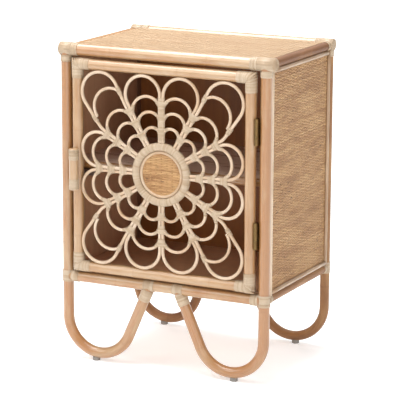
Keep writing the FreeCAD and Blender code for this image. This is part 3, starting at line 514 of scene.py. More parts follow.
class Piece:
    """Closed shapes gathered into one mesh, with the run of the grain kept on every point."""

    def __init__(self, inside_shade=False):
        self.points, self.faces, self.grain, self.knot, self.tone = [], [], [], [], []
        self.total = 0
        self.inside_shade = inside_shade

    def add(self, points, faces, grain, knot, tone):
        self.points.append(points)
        self.faces += [[index + self.total for index in face] for face in faces]
        self.grain.append(grain)
        self.knot.append(knot)
        self.tone.append(np.full(len(points), tone))
        self.total += len(points)

    def fit(self, name, finish, body, slot, node):
        mesh = bpy.data.meshes.new(node)
        points = np.concatenate(self.points)
        mesh.from_pydata(((points + shift) * MM).tolist(), [], self.faces)
        keep_on_points(mesh, "grain", "FLOAT_VECTOR", np.concatenate(self.grain) * MM)
        keep_on_points(mesh, "knot", "FLOAT", np.concatenate(self.knot))
        keep_on_points(mesh, "tone", "FLOAT", np.concatenate(self.tone))
        mesh.materials.append(finish)
        # faces inside the case take the second, dark finish: painted shade
        if self.inside_shade:
            mesh.materials.append(stained_pole)
            inside = is_inside(points)
            mesh.polygons.foreach_set("material_index", [int(inside[face].any()) for face in self.faces])
        mesh.shade_smooth()
        fit(name, mesh, body, slot, node)


def at(path, stations):
    """Points on a line of points, at distances along it."""
    gaps = np.linalg.norm(np.diff(path, axis=0), axis=1)
    run = np.concatenate([[0.0], np.cumsum(gaps)])
    return np.stack([np.interp(stations, run, path[:, axis]) for axis in range(3)], axis=1)


def length_of(path):
    return float(np.linalg.norm(np.diff(path, axis=0), axis=1).sum())


def polar(distance, degrees):
    angle = math.radians(degrees)
    return distance * math.cos(angle), distance * math.sin(angle)


def bearing(dx, dz):
    return math.degrees(math.atan2(dz, dx))


def bent_path(plane_y, start, heading, steps):
    """A line in an upright plane: straight lengths, and (radius, turn) bends in degrees."""
    pace = 1.5
    least_turn = 0.05
    x, z = start
    line = [(x, plane_y, z)]
    for step in steps:
        run_x, run_z = polar(1, heading)
        if not isinstance(step, tuple):
            x, z = x + run_x * step, z + run_z * step
            line.append((x, plane_y, z))
            continue
        radius, turn = step
        if abs(turn) < least_turn:
            continue
        side = math.copysign(1, turn)
        centre_x, centre_z = x - side * radius * run_z, z + side * radius * run_x
        count = max(3, int(radius * math.radians(abs(turn)) / pace))
        for index in range(1, count + 1):
            there_x, there_z = polar(1, heading + turn * index / count)
            x, z = centre_x + side * radius * there_z, centre_z - side * radius * there_x
            line.append((x, plane_y, z))
        heading += turn
    return np.array(line)


def round_outline(sides):
    angles = np.arange(sides) * (math.tau / sides)
    return np.stack([np.cos(angles), np.sin(angles)], axis=1)


def half_round_outline(steps):
    angles = np.linspace(0, math.pi, steps + 1)
    return np.stack([np.cos(angles), np.sin(angles)], axis=1)


def unit(rows):
    return rows / np.linalg.norm(rows, axis=1)[:, None]


# a cane's node: the sections round it, then how high and how long its swelling and groove are
knot_steps = (-6, -3, -1.5, -0.6, 0, 0.6, 1.5, 3, 6)
knot_swelling, swelling_length = 0.022, 4.5
knot_groove, groove_length = 0.02, 0.8
knot_mark_length = 1.8
rounding_shares = (0.08, 0.3, 0.6, 1.0)     # where the sections of a rounded end lie in it
long_waver, short_waver = 31, 13            # how fast a pole's size wavers, in mm a radian


def sweep(piece, path, radius, sides=20, level=(0, 1, 0), pace=7.0, knots=(), seed=0, rough=0.006,
          rounding=0.0, closed=False, outline=None, tone=None):
    """Carries a section along a line. knots are the distances of a cane's own nodes."""
    path = np.asarray(path, float)
    whole = length_of(path)
    stations = list(np.linspace(0, whole, max(2, int(whole / pace)) + 1))
    stations += [knot + step for knot in knots for step in knot_steps]
    if rounding:
        for share in rounding_shares:
            stations += [rounding * share, whole - rounding * share]
    stations = np.array(sorted({round(min(max(s, 0), whole), 3) for s in stations}))
    if closed:
        stations = stations[:-1]
        ahead, behind = (stations + 0.5) % whole, (stations - 0.5) % whole
    else:
        ahead, behind = np.minimum(stations + 0.5, whole), np.maximum(stations - 0.5, 0)
    run = unit(at(path, ahead) - at(path, behind))
    side = unit(np.cross(np.asarray(level, float), run))
    lift = np.cross(run, side)

    # the third phase isn't used: it is drawn so that the draws after it stay as they are
    chance = random.Random(seed)
    phases = [chance.uniform(0, math.tau) for _ in range(3)]
    waver = np.sin(stations / long_waver + phases[0]) + 0.6 * np.sin(stations / short_waver + phases[1])
    size = 1 + rough * waver
    marks = np.zeros(len(stations))
    for knot in knots:
        size += knot_swelling * np.exp(-(((stations - knot) / swelling_length) ** 2))
        size -= knot_groove * np.exp(-(((stations - knot) / groove_length) ** 2))
        marks += np.exp(-(((stations - knot) / knot_mark_length) ** 2))
    if rounding:
        near = np.minimum(np.minimum(stations, whole - stations), rounding)
        size *= (radius - rounding + np.sqrt(rounding ** 2 - (rounding - near) ** 2)) / radius

    outline = round_outline(sides) if outline is None else outline
    sides, count = len(outline), len(stations)
    ring = outline[None, :, :] * (radius * size)[:, None, None]
    points = at(path, stations)[:, None, :] + ring[..., :1] * side[:, None, :]
    points = points + ring[..., 1:] * lift[:, None, :]
    offset = chance.uniform(0, 900)
    grain = np.concatenate([np.repeat((stations + offset)[:, None, None], sides, axis=1), ring], axis=2)
    faces = []
    for index in range(count if closed else count - 1):
        here, there = index * sides, (index + 1) % count * sides
        for spoke in range(sides):
            following = (spoke + 1) % sides
            faces.append((here + spoke, here + following, there + following, there + spoke))
    if not closed:
        last = (count - 1) * sides
        faces.append(tuple(range(sides - 1, -1, -1)))
        faces.append(tuple(last + spoke for spoke in range(sides)))
    tone = chance.uniform(0.2, 0.8) if tone is None else tone
    piece.add(points.reshape(-1, 3), faces, grain.reshape(-1, 3), np.repeat(marks, sides), tone)


def knot_places(length, seed):
    """Where a pole's nodes lie along it: 150 to 260 mm apart, and none on its last 12 mm."""
    chance = random.Random(seed * 13 + 5)
    places, here = [], chance.uniform(0.3, 0.8) * 150
    while here < length - 12:
        places.append(here)
        here += chance.uniform(150, 260)
    return places


class Turns:
    """Places for turns of peel: where each lies, the axis it goes round and its half sizes."""

    def __init__(self):
        self.rows = []

    def one(self, centre, axis, across, deep=None, width=1.0):
        self.rows.append((tuple(centre), tuple(axis), (across, deep or across, width)))

    def sleeve(self, start, end, across, deep=None, pitch=turn_pitch):
        start, end = np.array(start, float), np.array(end, float)
        whole = float(np.linalg.norm(end - start))
        count = max(1, round(whole / pitch))
        for index in range(count):
            share = (index + 0.5) / count
            self.one(start + (end - start) * share, (end - start) / whole, across, deep)

    def fit(self, name, body, node, radius, width, thickness, steps, wobble, seed):
        blank = bpy.data.meshes.new(name + "_points")
        centres = (np.array([row[0] for row in self.rows]) + shift) * MM
        blank.from_pydata(centres.tolist(), [], [])
        sizes = np.array([row[2] for row in self.rows], np.float32)
        sizes[:, :2] /= radius
        keep_on_points(blank, "turn_axis", "FLOAT_VECTOR", np.array([row[1] for row in self.rows]))
        keep_on_points(blank, "turn_size", "FLOAT_VECTOR", sizes)
        values = {"Turn Radius": radius * MM, "Peel Width": width * MM, "Peel Thickness": thickness * MM,
                  "Steps Round": steps, "Wobble": wobble, "Seed": seed, "Finish": peel}
        fit(name + "_peel", run_tree(peel_turns, name + "_turns", values, blank), body, "binding_peel", node)


# ---- finishes -----------------------------------------------------------------------------
def shade(colour, share):
    return tuple(part * share for part in colour)


class Finish(Bench):
    """A material in the making: its tree and its shader."""

    def __init__(self, name, roughness, coat=0.0):
        self.material = bpy.data.materials.new(name)
        self.material.use_nodes = True
        super().__init__(self.material.node_tree)
        self.sockets = self.tree.nodes["Principled BSDF"].inputs
        self.set_inputs({"Roughness": roughness})
        self.set_inputs({"Coat Weight": coat, "Coat Roughness": 0.28, "Coat IOR": 1.6})

    def set_inputs(self, values):
        for label, value in values.items():
            self.join(value, self.sockets[label])

    def attribute(self, name, output="Fac"):
        return self.out("ShaderNodeAttribute", None, output, attribute_name=name, attribute_type="GEOMETRY")

    def object_place(self):
        return self.out("ShaderNodeTexCoord", None, "Object")

    def noise(self, place, stretch, detail=3.0, roughness=0.55, moved=None):
        """Soft noise: stretch is one scale or one for each axis, and moved shifts the first axis."""
        scale = stretch
        if isinstance(stretch, tuple):
            place, scale = self.vector("MULTIPLY", place, stretch), 1.0
        if moved is not None:
            place = self.vector("ADD", place, self.combine(moved, 0.0, 0.0))
        links = {"Vector": place, "Scale": scale, "Detail": detail, "Roughness": roughness}
        return self.out("ShaderNodeTexNoise", links, "Fac")

    def ramp(self, value, *stops):
        node = self.add("ShaderNodeValToRGB", {0: value})
        elements = node.color_ramp.elements
        while len(elements) < len(stops):
            elements.new(0.5)
        for element, (place, colour) in zip(elements, stops):
            element.position = place
            element.color = (*colour, 1)
        return Field(self, node.outputs["Color"])

    def mix(self, share, first, second, blend="MIX"):
        node = self.add("ShaderNodeMix", data_type="RGBA", blend_type=blend, clamp_factor=True)
        for index, value in ((0, share), (6, first), (7, second)):
            self.join((*value, 1) if isinstance(value, tuple) else value, node.inputs[index])
        return Field(self, node.outputs[2])

    def between(self, value, low, high, to_low, to_high):
        links = {"Value": value, "From Min": low, "From Max": high, "To Min": to_low, "To Max": to_high}
        return self.out("ShaderNodeMapRange", links)

    def close(self, colour, roughness, height, strength, depth):
        """Joins the colour, the roughness and the relief to the shader."""
        links = {"Height": height, "Strength": strength, "Distance": depth}
        relief = self.out("ShaderNodeBump", links)
        self.set_inputs({"Base Color": colour, "Roughness": roughness, "Normal": relief})
        return self.material


def cane_finish(name, light, middle, deep, roughness, coat, streaks):
    """Peeled rattan: long soft streaks, warm patches, fine fibres and darker nodes."""
    cane = Finish(name, roughness, coat)
    grain = cane.attribute("grain", "Vector")
    patch = cane.noise(grain, (11, 45, 45), 3.0, 0.6)
    patch = patch + cane.math("MULTIPLY_ADD", cane.attribute("tone"), 0.5, -0.25)
    colour = cane.ramp(patch, (0.32, light), (0.52, middle), (0.72, deep))
    streak = cane.noise(grain, (16, 520, 520), 4.0, 0.65)
    colour = cane.mix(cane.between(streak, 0.5, 0.78, 0.0, streaks), colour, shade(deep, 0.62))
    fibre = cane.noise(grain, (70, 2600, 2600), 2.0, 0.5)
    fibre_colour = cane.ramp(fibre, (0.3, (0.55, 0.5, 0.45)), (0.7, (1, 1, 1)))
    colour = cane.mix(0.22, colour, fibre_colour, "MULTIPLY")
    fleck = cane.noise(grain, (150, 700, 700), 2.0, 0.5)
    colour = cane.mix(cane.between(fleck, 0.7, 0.8, 0.0, 0.35), colour, shade(deep, 0.4))
    colour = cane.mix(cane.attribute("knot") * 0.3, colour, shade(deep, 0.8))
    gloss = cane.between(streak, 0.3, 0.8, roughness - 0.06, roughness + 0.14)
    return cane.close(colour, gloss, streak * 0.7 + fibre * 0.3, 0.35, 0.0004)


def peel_finish(name, stretch):
    """Flat binding peel, pale and nearly matt, with fibres that run along each strip."""
    strip = Finish(name, 0.5, 0.15)
    grain, tone = strip.attribute("grain", "Vector"), strip.attribute("tone")
    fibre = strip.noise(grain, stretch, 3.0, 0.6, tone * 31.0)
    light, middle, deep = (0.475, 0.37, 0.263), (0.425, 0.32, 0.218), (0.36, 0.253, 0.157)
    colour = strip.ramp(tone, (0.0, light), (0.5, middle), (1.0, deep))
    colour = strip.mix(strip.between(fibre, 0.45, 0.75, 0.0, 0.45), colour, (0.38, 0.255, 0.14))
    stain = strip.noise(grain, (160, 160, 160), 2.0)
    colour = strip.mix(strip.between(stain, 0.6, 0.8, 0.0, 0.5), colour, (0.44, 0.37, 0.22))
    return strip.close(colour, strip.between(fibre, 0.3, 0.8, 0.45, 0.7), fibre, 0.4, 0.0003)


def weave_finish(name, light, middle, deep, dashes, spread):
    """Woven core strands: each its own tone, with dark dashes where a strand's skin shows."""
    strand = Finish(name, 0.6)
    grain, tone = strand.attribute("grain", "Vector"), strand.attribute("tone")
    patch = strand.noise(grain, (30, 30, 330), 3.0, 0.6, tone * 57.0)
    band = strand.noise(grain, (9, 9, 55), 2.0)
    patch = patch + strand.math("MULTIPLY_ADD", band, 0.8, -0.4)
    colour = strand.ramp(patch, (0.5 - spread, light), (0.5, middle), (0.5 + spread, deep))
    colour = strand.mix(tone * 0.5, colour, deep)
    cloud = strand.noise(grain, (7, 9, 30), 3.0)
    dash = strand.noise(grain, (75, 75, 420), 2.0, 0.5, tone * 91.0)
    dash = dash + strand.math("MULTIPLY_ADD", cloud, 0.3, -0.15)
    colour = strand.mix(strand.between(dash, 0.64, 0.72, 0.0, dashes), colour, shade(deep, 0.2))
    fibre = strand.noise(grain, (120, 2500, 2500), 2.0)
    fibre_colour = strand.ramp(fibre, (0.3, (0.5, 0.45, 0.4)), (0.7, (1, 1, 1)))
    colour = strand.mix(0.25, colour, fibre_colour, "MULTIPLY")
    return strand.close(colour, strand.between(fibre, 0.3, 0.8, 0.5, 0.75), fibre, 0.5, 0.0003)


def board_finish(name, deep, middle, light, roughness, upright=True):
    """Stained wood, with its grain upright or from side to side."""
    wood = Finish(name, roughness)
    place = wood.object_place()
    grain_stretch, band_stretch = ((60, 60, 6), (9, 9, 2)) if upright else ((6, 60, 60), (2, 9, 9))
    grain = wood.noise(place, grain_stretch, 5.0, 0.65)
    band = wood.noise(place, band_stretch, 2.0)
    colour = wood.ramp(grain, (0.3, deep), (0.55, middle), (0.8, light))
    colour = wood.mix(wood.between(band, 0.35, 0.75, 0.0, 0.4), colour, light)
    gloss = wood.between(grain, 0.3, 0.8, roughness - 0.06, roughness + 0.1)
    return wood.close(colour, gloss, grain, 0.25, 0.0004)


def metal_finish(name, colour, roughness, tarnish):
    metal = Finish(name, roughness)
    metal.set_inputs({"Metallic": 1.0})
    place = metal.object_place()
    cloud = metal.noise(place, 90.0, 4.0, 0.6)
    brushed = metal.noise(place, (2500, 2500, 60), 2.0)
    tint = metal.mix(metal.between(cloud, 0.45, 0.75, 0.0, 0.6), colour, tarnish)
    gloss = metal.between(brushed, 0.3, 0.7, roughness - 0.08, roughness + 0.12)
    return metal.close(tint, gloss, brushed, 0.15, 0.0002)


def plastic_finish(name, colour, roughness):
    plastic = Finish(name, roughness)
    place = plastic.object_place()
    speck = plastic.noise(place, 900.0, 3.0, 0.6)
    scuff = plastic.noise(place, 120.0, 3.0, 0.6)
    tint = plastic.mix(plastic.between(scuff, 0.55, 0.8, 0.0, 0.4), colour, shade(colour, 0.7))
    gloss = plastic.between(scuff, 0.3, 0.8, roughness - 0.08, roughness + 0.15)
    return plastic.close(tint, gloss, speck, 0.2, 0.0002)


case_pole = cane_finish("case_pole", (0.48, 0.325, 0.185), (0.42, 0.245, 0.115), (0.37, 0.165, 0.052),
                        0.3, 0.8, 0.45)
# a darker, matt copy of case_pole: the extra darkness is painted shade, for poles at the sides and back of
# the case
dark_pole = cane_finish("dark_pole", (0.36, 0.19, 0.075), (0.26, 0.115, 0.038), (0.18, 0.07, 0.02),
                        0.5, 0.0, 0.4)
door_pole = cane_finish("door_pole", (0.47, 0.315, 0.18), (0.42, 0.243, 0.112), (0.37, 0.185, 0.068),
                        0.3, 0.8, 0.4)
thin_cane = cane_finish("thin_cane", (0.60, 0.465, 0.34), (0.55, 0.405, 0.275), (0.47, 0.3, 0.17),
                        0.36, 0.5, 0.4)
strip_cane = cane_finish("strip_cane", (0.66, 0.51, 0.36), (0.56, 0.405, 0.26), (0.36, 0.215, 0.11),
                         0.36, 0.5, 0.3)
peel = peel_finish("binding_peel", (70, 70, 1500))
laid_peel = peel_finish("laid_peel", (70, 1500, 1500))
side_weave = weave_finish("side_weave", (0.63, 0.39, 0.19), (0.55, 0.32, 0.145), (0.37, 0.19, 0.08),
                          0.95, 0.15)
# the top mat is the same weave as the sides, made paler here: the paleness is painted top light and sheen
top_weave = weave_finish("top_weave", (0.6, 0.435, 0.28), (0.55, 0.385, 0.235), (0.46, 0.295, 0.165),
                         0.25, 0.24)
disc_weave = weave_finish("disc_weave", (0.68, 0.43, 0.2), (0.56, 0.32, 0.135), (0.34, 0.165, 0.06),
                          0.8, 0.15)
# back and top boards: a much darker copy of the side boards' stained wood; the extra darkness is painted
# shade deep in the case
case_board_painted_shade = board_finish("back_board_wood", (0.21, 0.068, 0.015), (0.29, 0.1, 0.021), (0.38, 0.143, 0.033), 0.4)
side_board = board_finish("side_board_wood", (0.46, 0.25, 0.135), (0.57, 0.32, 0.185), (0.67, 0.395, 0.245),
                          0.35)
# the shelf's pale mauve is partly the board's own colour and partly a painted sheen, the lit band along its
# front
shelf_wood = board_finish("shelf_wood", (0.56, 0.39, 0.3), (0.64, 0.46, 0.365), (0.72, 0.54, 0.44), 0.3,
                          upright=False)
# the case poles' inner faces: dark matt wood, darker than the boards, which is painted shade inside the case
stained_pole = board_finish("stained_pole", (0.12, 0.045, 0.018), (0.17, 0.065, 0.027), (0.22, 0.09, 0.04),
                            0.8)
disc_backing = board_finish("disc_backing", (0.3, 0.14, 0.05), (0.36, 0.18, 0.07), (0.42, 0.22, 0.1), 0.7)
brass = metal_finish("hinge_brass", (0.2, 0.125, 0.05), 0.45, (0.1, 0.06, 0.025))
steel = metal_finish("nail_steel", (0.6, 0.6, 0.6), 0.38, (0.35, 0.33, 0.3))
glide_plastic = plastic_finish("glide_plastic", (0.24, 0.22, 0.2), 0.5)
catch_plastic = plastic_finish("catch_plastic", (0.09, 0.05, 0.035), 0.45)
peel_turns = peel_turn_tree()
woven_mat = woven_mat_tree()


def lay_floor():
    """White paper that brightens away from the cabinet, so that it fades out at the horizon."""
    reach = 14.0
    outline = [(-reach, -reach, 0), (reach, -reach, 0), (reach, reach, 0), (-reach, reach, 0)]
    mesh = bpy.data.meshes.new("floor")
    mesh.from_pydata(outline, [], [(0, 1, 2, 3)])
    paper = Finish("floor_paper", 0.9)
    distance = paper.out("ShaderNodeVectorMath", {0: paper.object_place()}, "Value", operation="LENGTH")
    glow = paper.between(distance, 1.2, 4.0, 0.4, 0.95)
    paper.set_inputs({"Base Color": (0.85, 0.865, 0.88, 1), "Emission Color": (0.96, 0.99, 1, 1),
                      "Emission Strength": glow})
    mesh.materials.append(paper.material)
    floor = bpy.data.objects.new("floor", mesh)
    show(floor)


# ---- legs and rails -----------------------------------------------------------------------
def leg_arm(post_radius):
    """The arm's slope in degrees above level, and its length from the loop to the rail."""
    loop_centre = glide_height + post_radius + leg_bend_radius
    run = case_width / 2 - arm_head_offset - leg_bend_radius
    rise = bottom_rail_height - loop_centre
    distance = math.hypot(run, rise)
    slope = bearing(run, rise) + math.degrees(math.asin(leg_bend_radius / distance))
    return slope, math.sqrt(distance ** 2 - leg_bend_radius ** 2)


# how deep each pole's colour is, from 0 for straw to 1 for orange brown
pole_tones = {
    "front_left_leg_post": 0.75,
    "front_right_leg_post": 0.95,
    "rear_right_leg_post": 0.3,
    "left_top_rail": 0.1,
    # this deep tone adds painted shade to the right side top rail
    "right_top_rail": 0.8,
    "right_bottom_rail": 0.5,
    "rear_left_leg_post": 0.5,
    "front_top_rail": 0.5,
    "front_bottom_rail": 0.6,
    "shelf_front_rail": 0.9,
    "hinge_stile": 0.7,
    "latch_stile": 0.5,
    "door_top_rail": 0.3,
    "door_bottom_rail": 0.5,
    "handle_bar": 0.1,
}
# poles that take the darker copy of the pole finish, as painted shade: the side rails and the rear legs
shaded_poles = ("left_top_rail", "right_top_rail", "right_bottom_rail",
              "rear_left_leg_post", "rear_right_leg_post")


def pole_piece(name, path, radius, seed, **settings):
    """One rattan pole. The inner faces of the case's poles take a dark finish that is painted shade inside
    the case.
    """
    path = np.asarray(path, float)
    piece = Piece(inside_shade=name.startswith(("front_", "rear_", "left_", "right_")))
    sweep(piece, path, radius, sides=28, seed=seed, knots=knot_places(length_of(path), seed),
          tone=pole_tones.get(name), **settings)
    body = "door" if name.startswith(("hinge_", "latch_", "door_", "handle_")) else "cabinet"
    finish = door_pole if body == "door" else dark_pole if name in shaded_poles else case_pole
    piece.fit(name + "_rattan", finish, body, "rattan_pole", name)


def build_legs():
    for seed, (name, (x, y, radius)) in enumerate(corners.items()):
        slope, tangent = leg_arm(radius)
        inward = -math.copysign(1, x)
        drop = top_rail_height - (glide_height + radius + leg_bend_radius)
        steps = [drop, (leg_bend_radius, inward * (90 + slope)), tangent - arm_stop]
        path = bent_path(y, (x, top_rail_height), -90, steps)
        pole_piece(name + "_leg_post", path, radius, 11 + seed, pace=6.0)


def build_rails():
    def across(name, start, end, y, height, radius, seed):
        pole_piece(name, ((start, y, height), (end, y, height)), radius, seed)

    across("front_top_rail", left_x - left_overhang, right_x + right_overhang, front_y, top_rail_height,
           front_top_rail_radius, 21)
    across("rear_top_rail", left_x - rear_overhang, right_x + rear_overhang, rear_y, top_rail_height,
           rear_top_rail_radius, 22)
    for row, y, seed in (("front", front_y, 31), ("rear", rear_y, 32)):
        across(row + "_bottom_rail", left_x + rail_tuck, right_x - rail_tuck, y, bottom_rail_height,
               bottom_rail_radii[row], seed)
    levels = (("_top_rail", side_top_rail_height, side_top_rail_radius),
              ("_bottom_rail", bottom_rail_height, side_bottom_rail_radius))
    for side, x, seed in (("left", left_x, 41), ("right", right_x, 42)):
        for level, height, radius in levels:
            path = ((x, front_y + rail_tuck, height), (x, rear_y - rail_tuck, height))
            pole_piece(side + level, path, radius, seed + int(height), level=(0, 0, 1))
    across("shelf_front_rail", -inside_x, inside_x, front_y + front_post_radius + shelf_rail_radius + fit_gap,
           shelf_height - shelf_rail_radius, shelf_rail_radius, 51)


# ---- bindings on the case -----------------------------------------------------------------
def overhang(name):
    if name.startswith("rear"):
        return rear_overhang
    return right_overhang if name.endswith("right") else left_overhang


def coil_cap(piece, centre, outward, base, rise, coils):
    """A round of peel coiled on a pole's end: a low dome with one spiral groove."""
    spokes, rings = 40, 26
    back_depth = 1.5
    trough, ridge_part, dome_power = 0.66, 0.34, 2.6
    points, grain = [], []

    def point(along, reach, angle, depth):
        aside, up = reach * math.cos(angle), reach * math.sin(angle)
        points.append((centre[0] + outward * along, centre[1] + outward * aside, centre[2] + up))
        grain.append((aside, up, depth))

    point(rise * trough, 0.0, 0.0, 0.0)
    for share in (ring / rings for ring in range(1, rings + 1)):
        for spoke in range(spokes):
            ridge = abs(math.sin(math.pi * (share * coils - spoke / spokes)))
            dome = math.sqrt(max(0.0, 1 - share ** dome_power))
            point(rise * dome * (trough + ridge_part * ridge), base * share, math.tau * spoke / spokes,
                  share * base)
    for spoke in range(spokes):
        point(-back_depth, base, math.tau * spoke / spokes, base)
    faces = [(0, 1 + spoke, 1 + (spoke + 1) % spokes) for spoke in range(spokes)]
    for ring in range(rings):
        here, there = 1 + ring * spokes, 1 + (ring + 1) * spokes
        for spoke in range(spokes):
            following = (spoke + 1) % spokes
            faces.append((here + spoke, there + spoke, there + following, here + following))
    faces.append(tuple(range(len(points) - 1, len(points) - 1 - spokes, -1)))
    piece.add(np.array(points), faces, np.array(grain), np.zeros(len(points)), 1.0)


def strip_outline(width, thickness):
    """The section of a flat strip that lies on a pole, with its upper edges eased."""
    half, edge = width / 2, thickness * 0.4
    return np.array([(half, 0), (half, thickness - edge), (half - edge, thickness),
                     (edge - half, thickness), (-half, thickness - edge), (-half, 0)])


def lay_bands(piece, start, end, radius, seed):
    """Peel laid lengthwise on a pole's end, strip beside strip all round."""
    sink = 0.1
    start, end = np.array(start, float), np.array(end, float)
    run = (end - start) / np.linalg.norm(end - start)
    up = np.array((0.0, 0.0, 1.0))
    across = np.cross(run, up)
    count = round(math.tau * radius / band_width)
    outline = strip_outline(math.tau * (radius + wrap * 0.5) / count, wrap * turn_share)
    for index in range(count):
        angle = math.tau * (index + 0.5) / count
        out = across * math.cos(angle) + up * math.sin(angle)
        seat = out * (radius - sink)
        sweep(piece, (start + seat, end + seat), 1.0, pace=12, level=out, rough=0.0, outline=outline,
              seed=seed + index)


def bind_corner(name, seed, tops, bottoms, arms, bands, caps):
    """The bindings of one corner: round its rail ends, its foot joint and its leg's arm."""
    x, y, radius = corners[name]
    outward, back = math.copysign(1, x), math.copysign(1, -y)
    top_radius, low_radius = (radii[name.split("_")[0]] for radii in (top_rail_radii, bottom_rail_radii))
    coiled = name == "front_right"

    reach = front_right_wrap_length if coiled else rail_end_wrap_length + ring_zone - ring_zone_lap
    inner_x = x - outward * reach
    places = (x + outward * overhang(name), inner_x, inner_x + outward * ring_zone)
    tip, inner, meet = ((place, y, top_rail_height) for place in places)
    under = top_rail_height - top_radius
    lay_bands(bands, tip, meet, top_radius, 400 + 20 * seed)
    tops.sleeve(inner, meet, top_radius)
    tops.sleeve((x, y, under - post_top_wrap_length), (x, y, under), radius)
    tops.sleeve((x, y + back * (radius + 1), side_top_rail_height),
                (x, y + back * (radius + side_wrap_length), side_top_rail_height), side_top_rail_radius)
    cap_rise, coils = (coiled_cap_rise, 4) if coiled else (end_cap_rise, 3)
    coil_cap(caps, tip, outward, top_radius + wrap * 0.9, cap_rise, coils)

    low = bottom_rail_height
    bottoms.sleeve((x, y, low - bottom_wrap_height), (x, y, low + bottom_wrap_height), radius)
    bottoms.sleeve((x - outward * radius, y, low), (x - outward * (radius + bottom_wrap_length), y, low),
                   low_radius)
    bottoms.sleeve((x, y + back * radius, low), (x, y + back * (radius + side_wrap_length), low),
                   side_bottom_rail_radius)

    head = np.array((outward * arm_head_offset, y, low))
    down_x, down_z = polar(1, leg_arm(radius)[0])
    down = np.array((outward * down_x, 0, -down_z))
    arms.sleeve(head - (arm_rail_wrap, 0, 0), head + (arm_rail_wrap, 0, 0), low_radius)
    arms.sleeve(head + down * low_radius * 0.8, head + down * (low_radius + arm_wrap_length), radius)


def bind_case():
    tops, bottoms, arms = Turns(), Turns(), Turns()
    bands, caps = Piece(), Piece()
    for seed, name in enumerate(corners):
        bind_corner(name, seed, tops, bottoms, arms, bands, caps)
    for turns, name, seed in ((tops, "top_corner", 10), (bottoms, "bottom_corner", 13), (arms, "arm", 3)):
        turns.fit(name, "cabinet", name + "_bindings", case_turn_radius, case_turn_width,
                  wrap * turn_share, thick_turn_steps, thick_turn_lean, seed)
    bands.fit("top_corner_bands", laid_peel, "cabinet", "binding_peel", "top_corner_bindings")
    caps.fit("rail_end_coils", peel, "cabinet", "binding_peel", "rail_end_caps")


# ---- mats and strips ----------------------------------------------------------------------
def lay_mat(name, body, node, place, turn, run, rise, finish, seed, pitch=2.8, disc=0.0,
            depth=mat_thickness):
    """Weaves a mat in the XZ plane, turns it about one axis and lays it in its place."""
    values = {
        "Run": run * MM,
        "Rise": rise * MM,
        "Weft Pitch": pitch * MM,
        "Weft Width": pitch * 1.12 * MM,
        "Warp Pitch": 11.5 * MM,
        "Warp Width": 3.0 * MM,
        "Strand Thickness": depth * 0.48 * MM,
        "Wave": depth * 0.24 * MM,
        "Disc Radius": disc * MM,
        "Seed": seed,
        "Finish": finish,
    }
    mesh = run_tree(woven_mat, name + "_mat", values)
    angle, axis = turn
    mesh.transform(Matrix.Translation((Vector(place) + Vector(shift)) * MM) @ Matrix.Rotation(angle, 4, axis))
    fit(name + "_woven_mat", mesh, body, "woven_mat", node)


def lay_mats():
    face = board_thickness / 2 + mat_thickness / 2
    quarter = math.pi / 2
    run = case_depth - front_post_radius - rear_post_radius + 2 * mat_tuck
    rise = side_top_rail_height - bottom_rail_height - 2 * side_bottom_rail_radius + 2 * mat_tuck
    middle_y = (front_y + front_post_radius + rear_y - rear_post_radius) / 2
    middle_z = (side_top_rail_height + bottom_rail_height) / 2
    for name, x, angle, seed in (("right", right_x + face, quarter, 3), ("left", left_x - face, -quarter, 8)):
        lay_mat(name, "cabinet", "side_mats", (x, middle_y, middle_z), (angle, "Z"), run, rise, side_weave,
                seed)
    run = case_width - 2 * rear_post_radius + 2 * mat_tuck
    high = top_rail_height - rear_top_rail_radius
    low = bottom_rail_height + rear_bottom_rail_radius
    place = (0, rear_y + face, (high + low) / 2)
    lay_mat("back", "cabinet", "back_mat", place, (math.pi, "Z"), run, high - low + 2 * mat_tuck,
            side_weave, 5)
    drop = top_mat_face - top_rail_height
    front_edge = front_y + math.sqrt(front_top_rail_radius ** 2 - drop ** 2)
    rear_edge = rear_y - math.sqrt(rear_top_rail_radius ** 2 - drop ** 2)
    place = (0, (front_edge + rear_edge) / 2, top_mat_face - mat_thickness / 2)
    run = case_width - 2 * side_top_rail_radius + 2 * top_mat_tuck
    lay_mat("top", "cabinet", "top_mat", place, (-quarter, "X"), run, rear_edge - front_edge + 2 * mat_tuck,
            top_weave, 13)


def seat_distance(pole_radius, face_offset):
    return math.sqrt(pole_radius ** 2 - face_offset ** 2) + strip_radius + fit_gap


def frame_panel(piece, spot, near, far, low, high, out, seed, tones):
    """Four half-round strips round a panel, two upright and two level, flat side on the mat."""
    runs = [(spot(side, low - strip_radius), spot(side, high + strip_radius)) for side in (near, far)]
    runs += [(spot(near + strip_radius, z), spot(far - strip_radius, z)) for z in (low, high)]
    for index, (path, tone) in enumerate(zip(runs, tones)):
        sweep(piece, path, strip_radius, seed=seed + index, pace=30, outline=half_round_outline(8),
              level=out, rough=0.0, tone=tone)


def lay_strips():
    face = board_thickness / 2 + mat_thickness
    sides, back = Piece(), Piece()
    near = front_y + seat_distance(front_post_radius, face)
    far = rear_y - seat_distance(rear_post_radius, face)
    low = bottom_rail_height + seat_distance(side_bottom_rail_radius, face)
    high = side_top_rail_height - seat_distance(side_top_rail_radius, face)
    # side strips: the front upright is pale, and the rear upright and both level strips take a deep tone that
    # is painted shade
    for x, out, seed in ((left_x, -1.0, 60), (right_x, 1.0, 64)):
        frame_panel(sides, lambda y, z: (x + out * face, y, z), near, far, low, high, (out, 0, 0), seed,
                    (0.2, 1.0, 1.0, 1.0))
    sides.fit("side_edge_strips", strip_cane, "cabinet", "cane", "side_strips")
    near = left_x + seat_distance(rear_post_radius, face)
    low = bottom_rail_height + seat_distance(rear_bottom_rail_radius, face)
    high = top_rail_height - seat_distance(rear_top_rail_radius, face)
    frame_panel(back, lambda x, z: (x, rear_y + face, z), near, -near, low, high, (0, 1, 0), 80, [None] * 4)
    back.fit("back_edge_strips", strip_cane, "cabinet", "cane", "back_strips")


# ---- door frame ---------------------------------------------------------------------------
def door_point(x, z):
    return (x, door_y, door_middle + z)


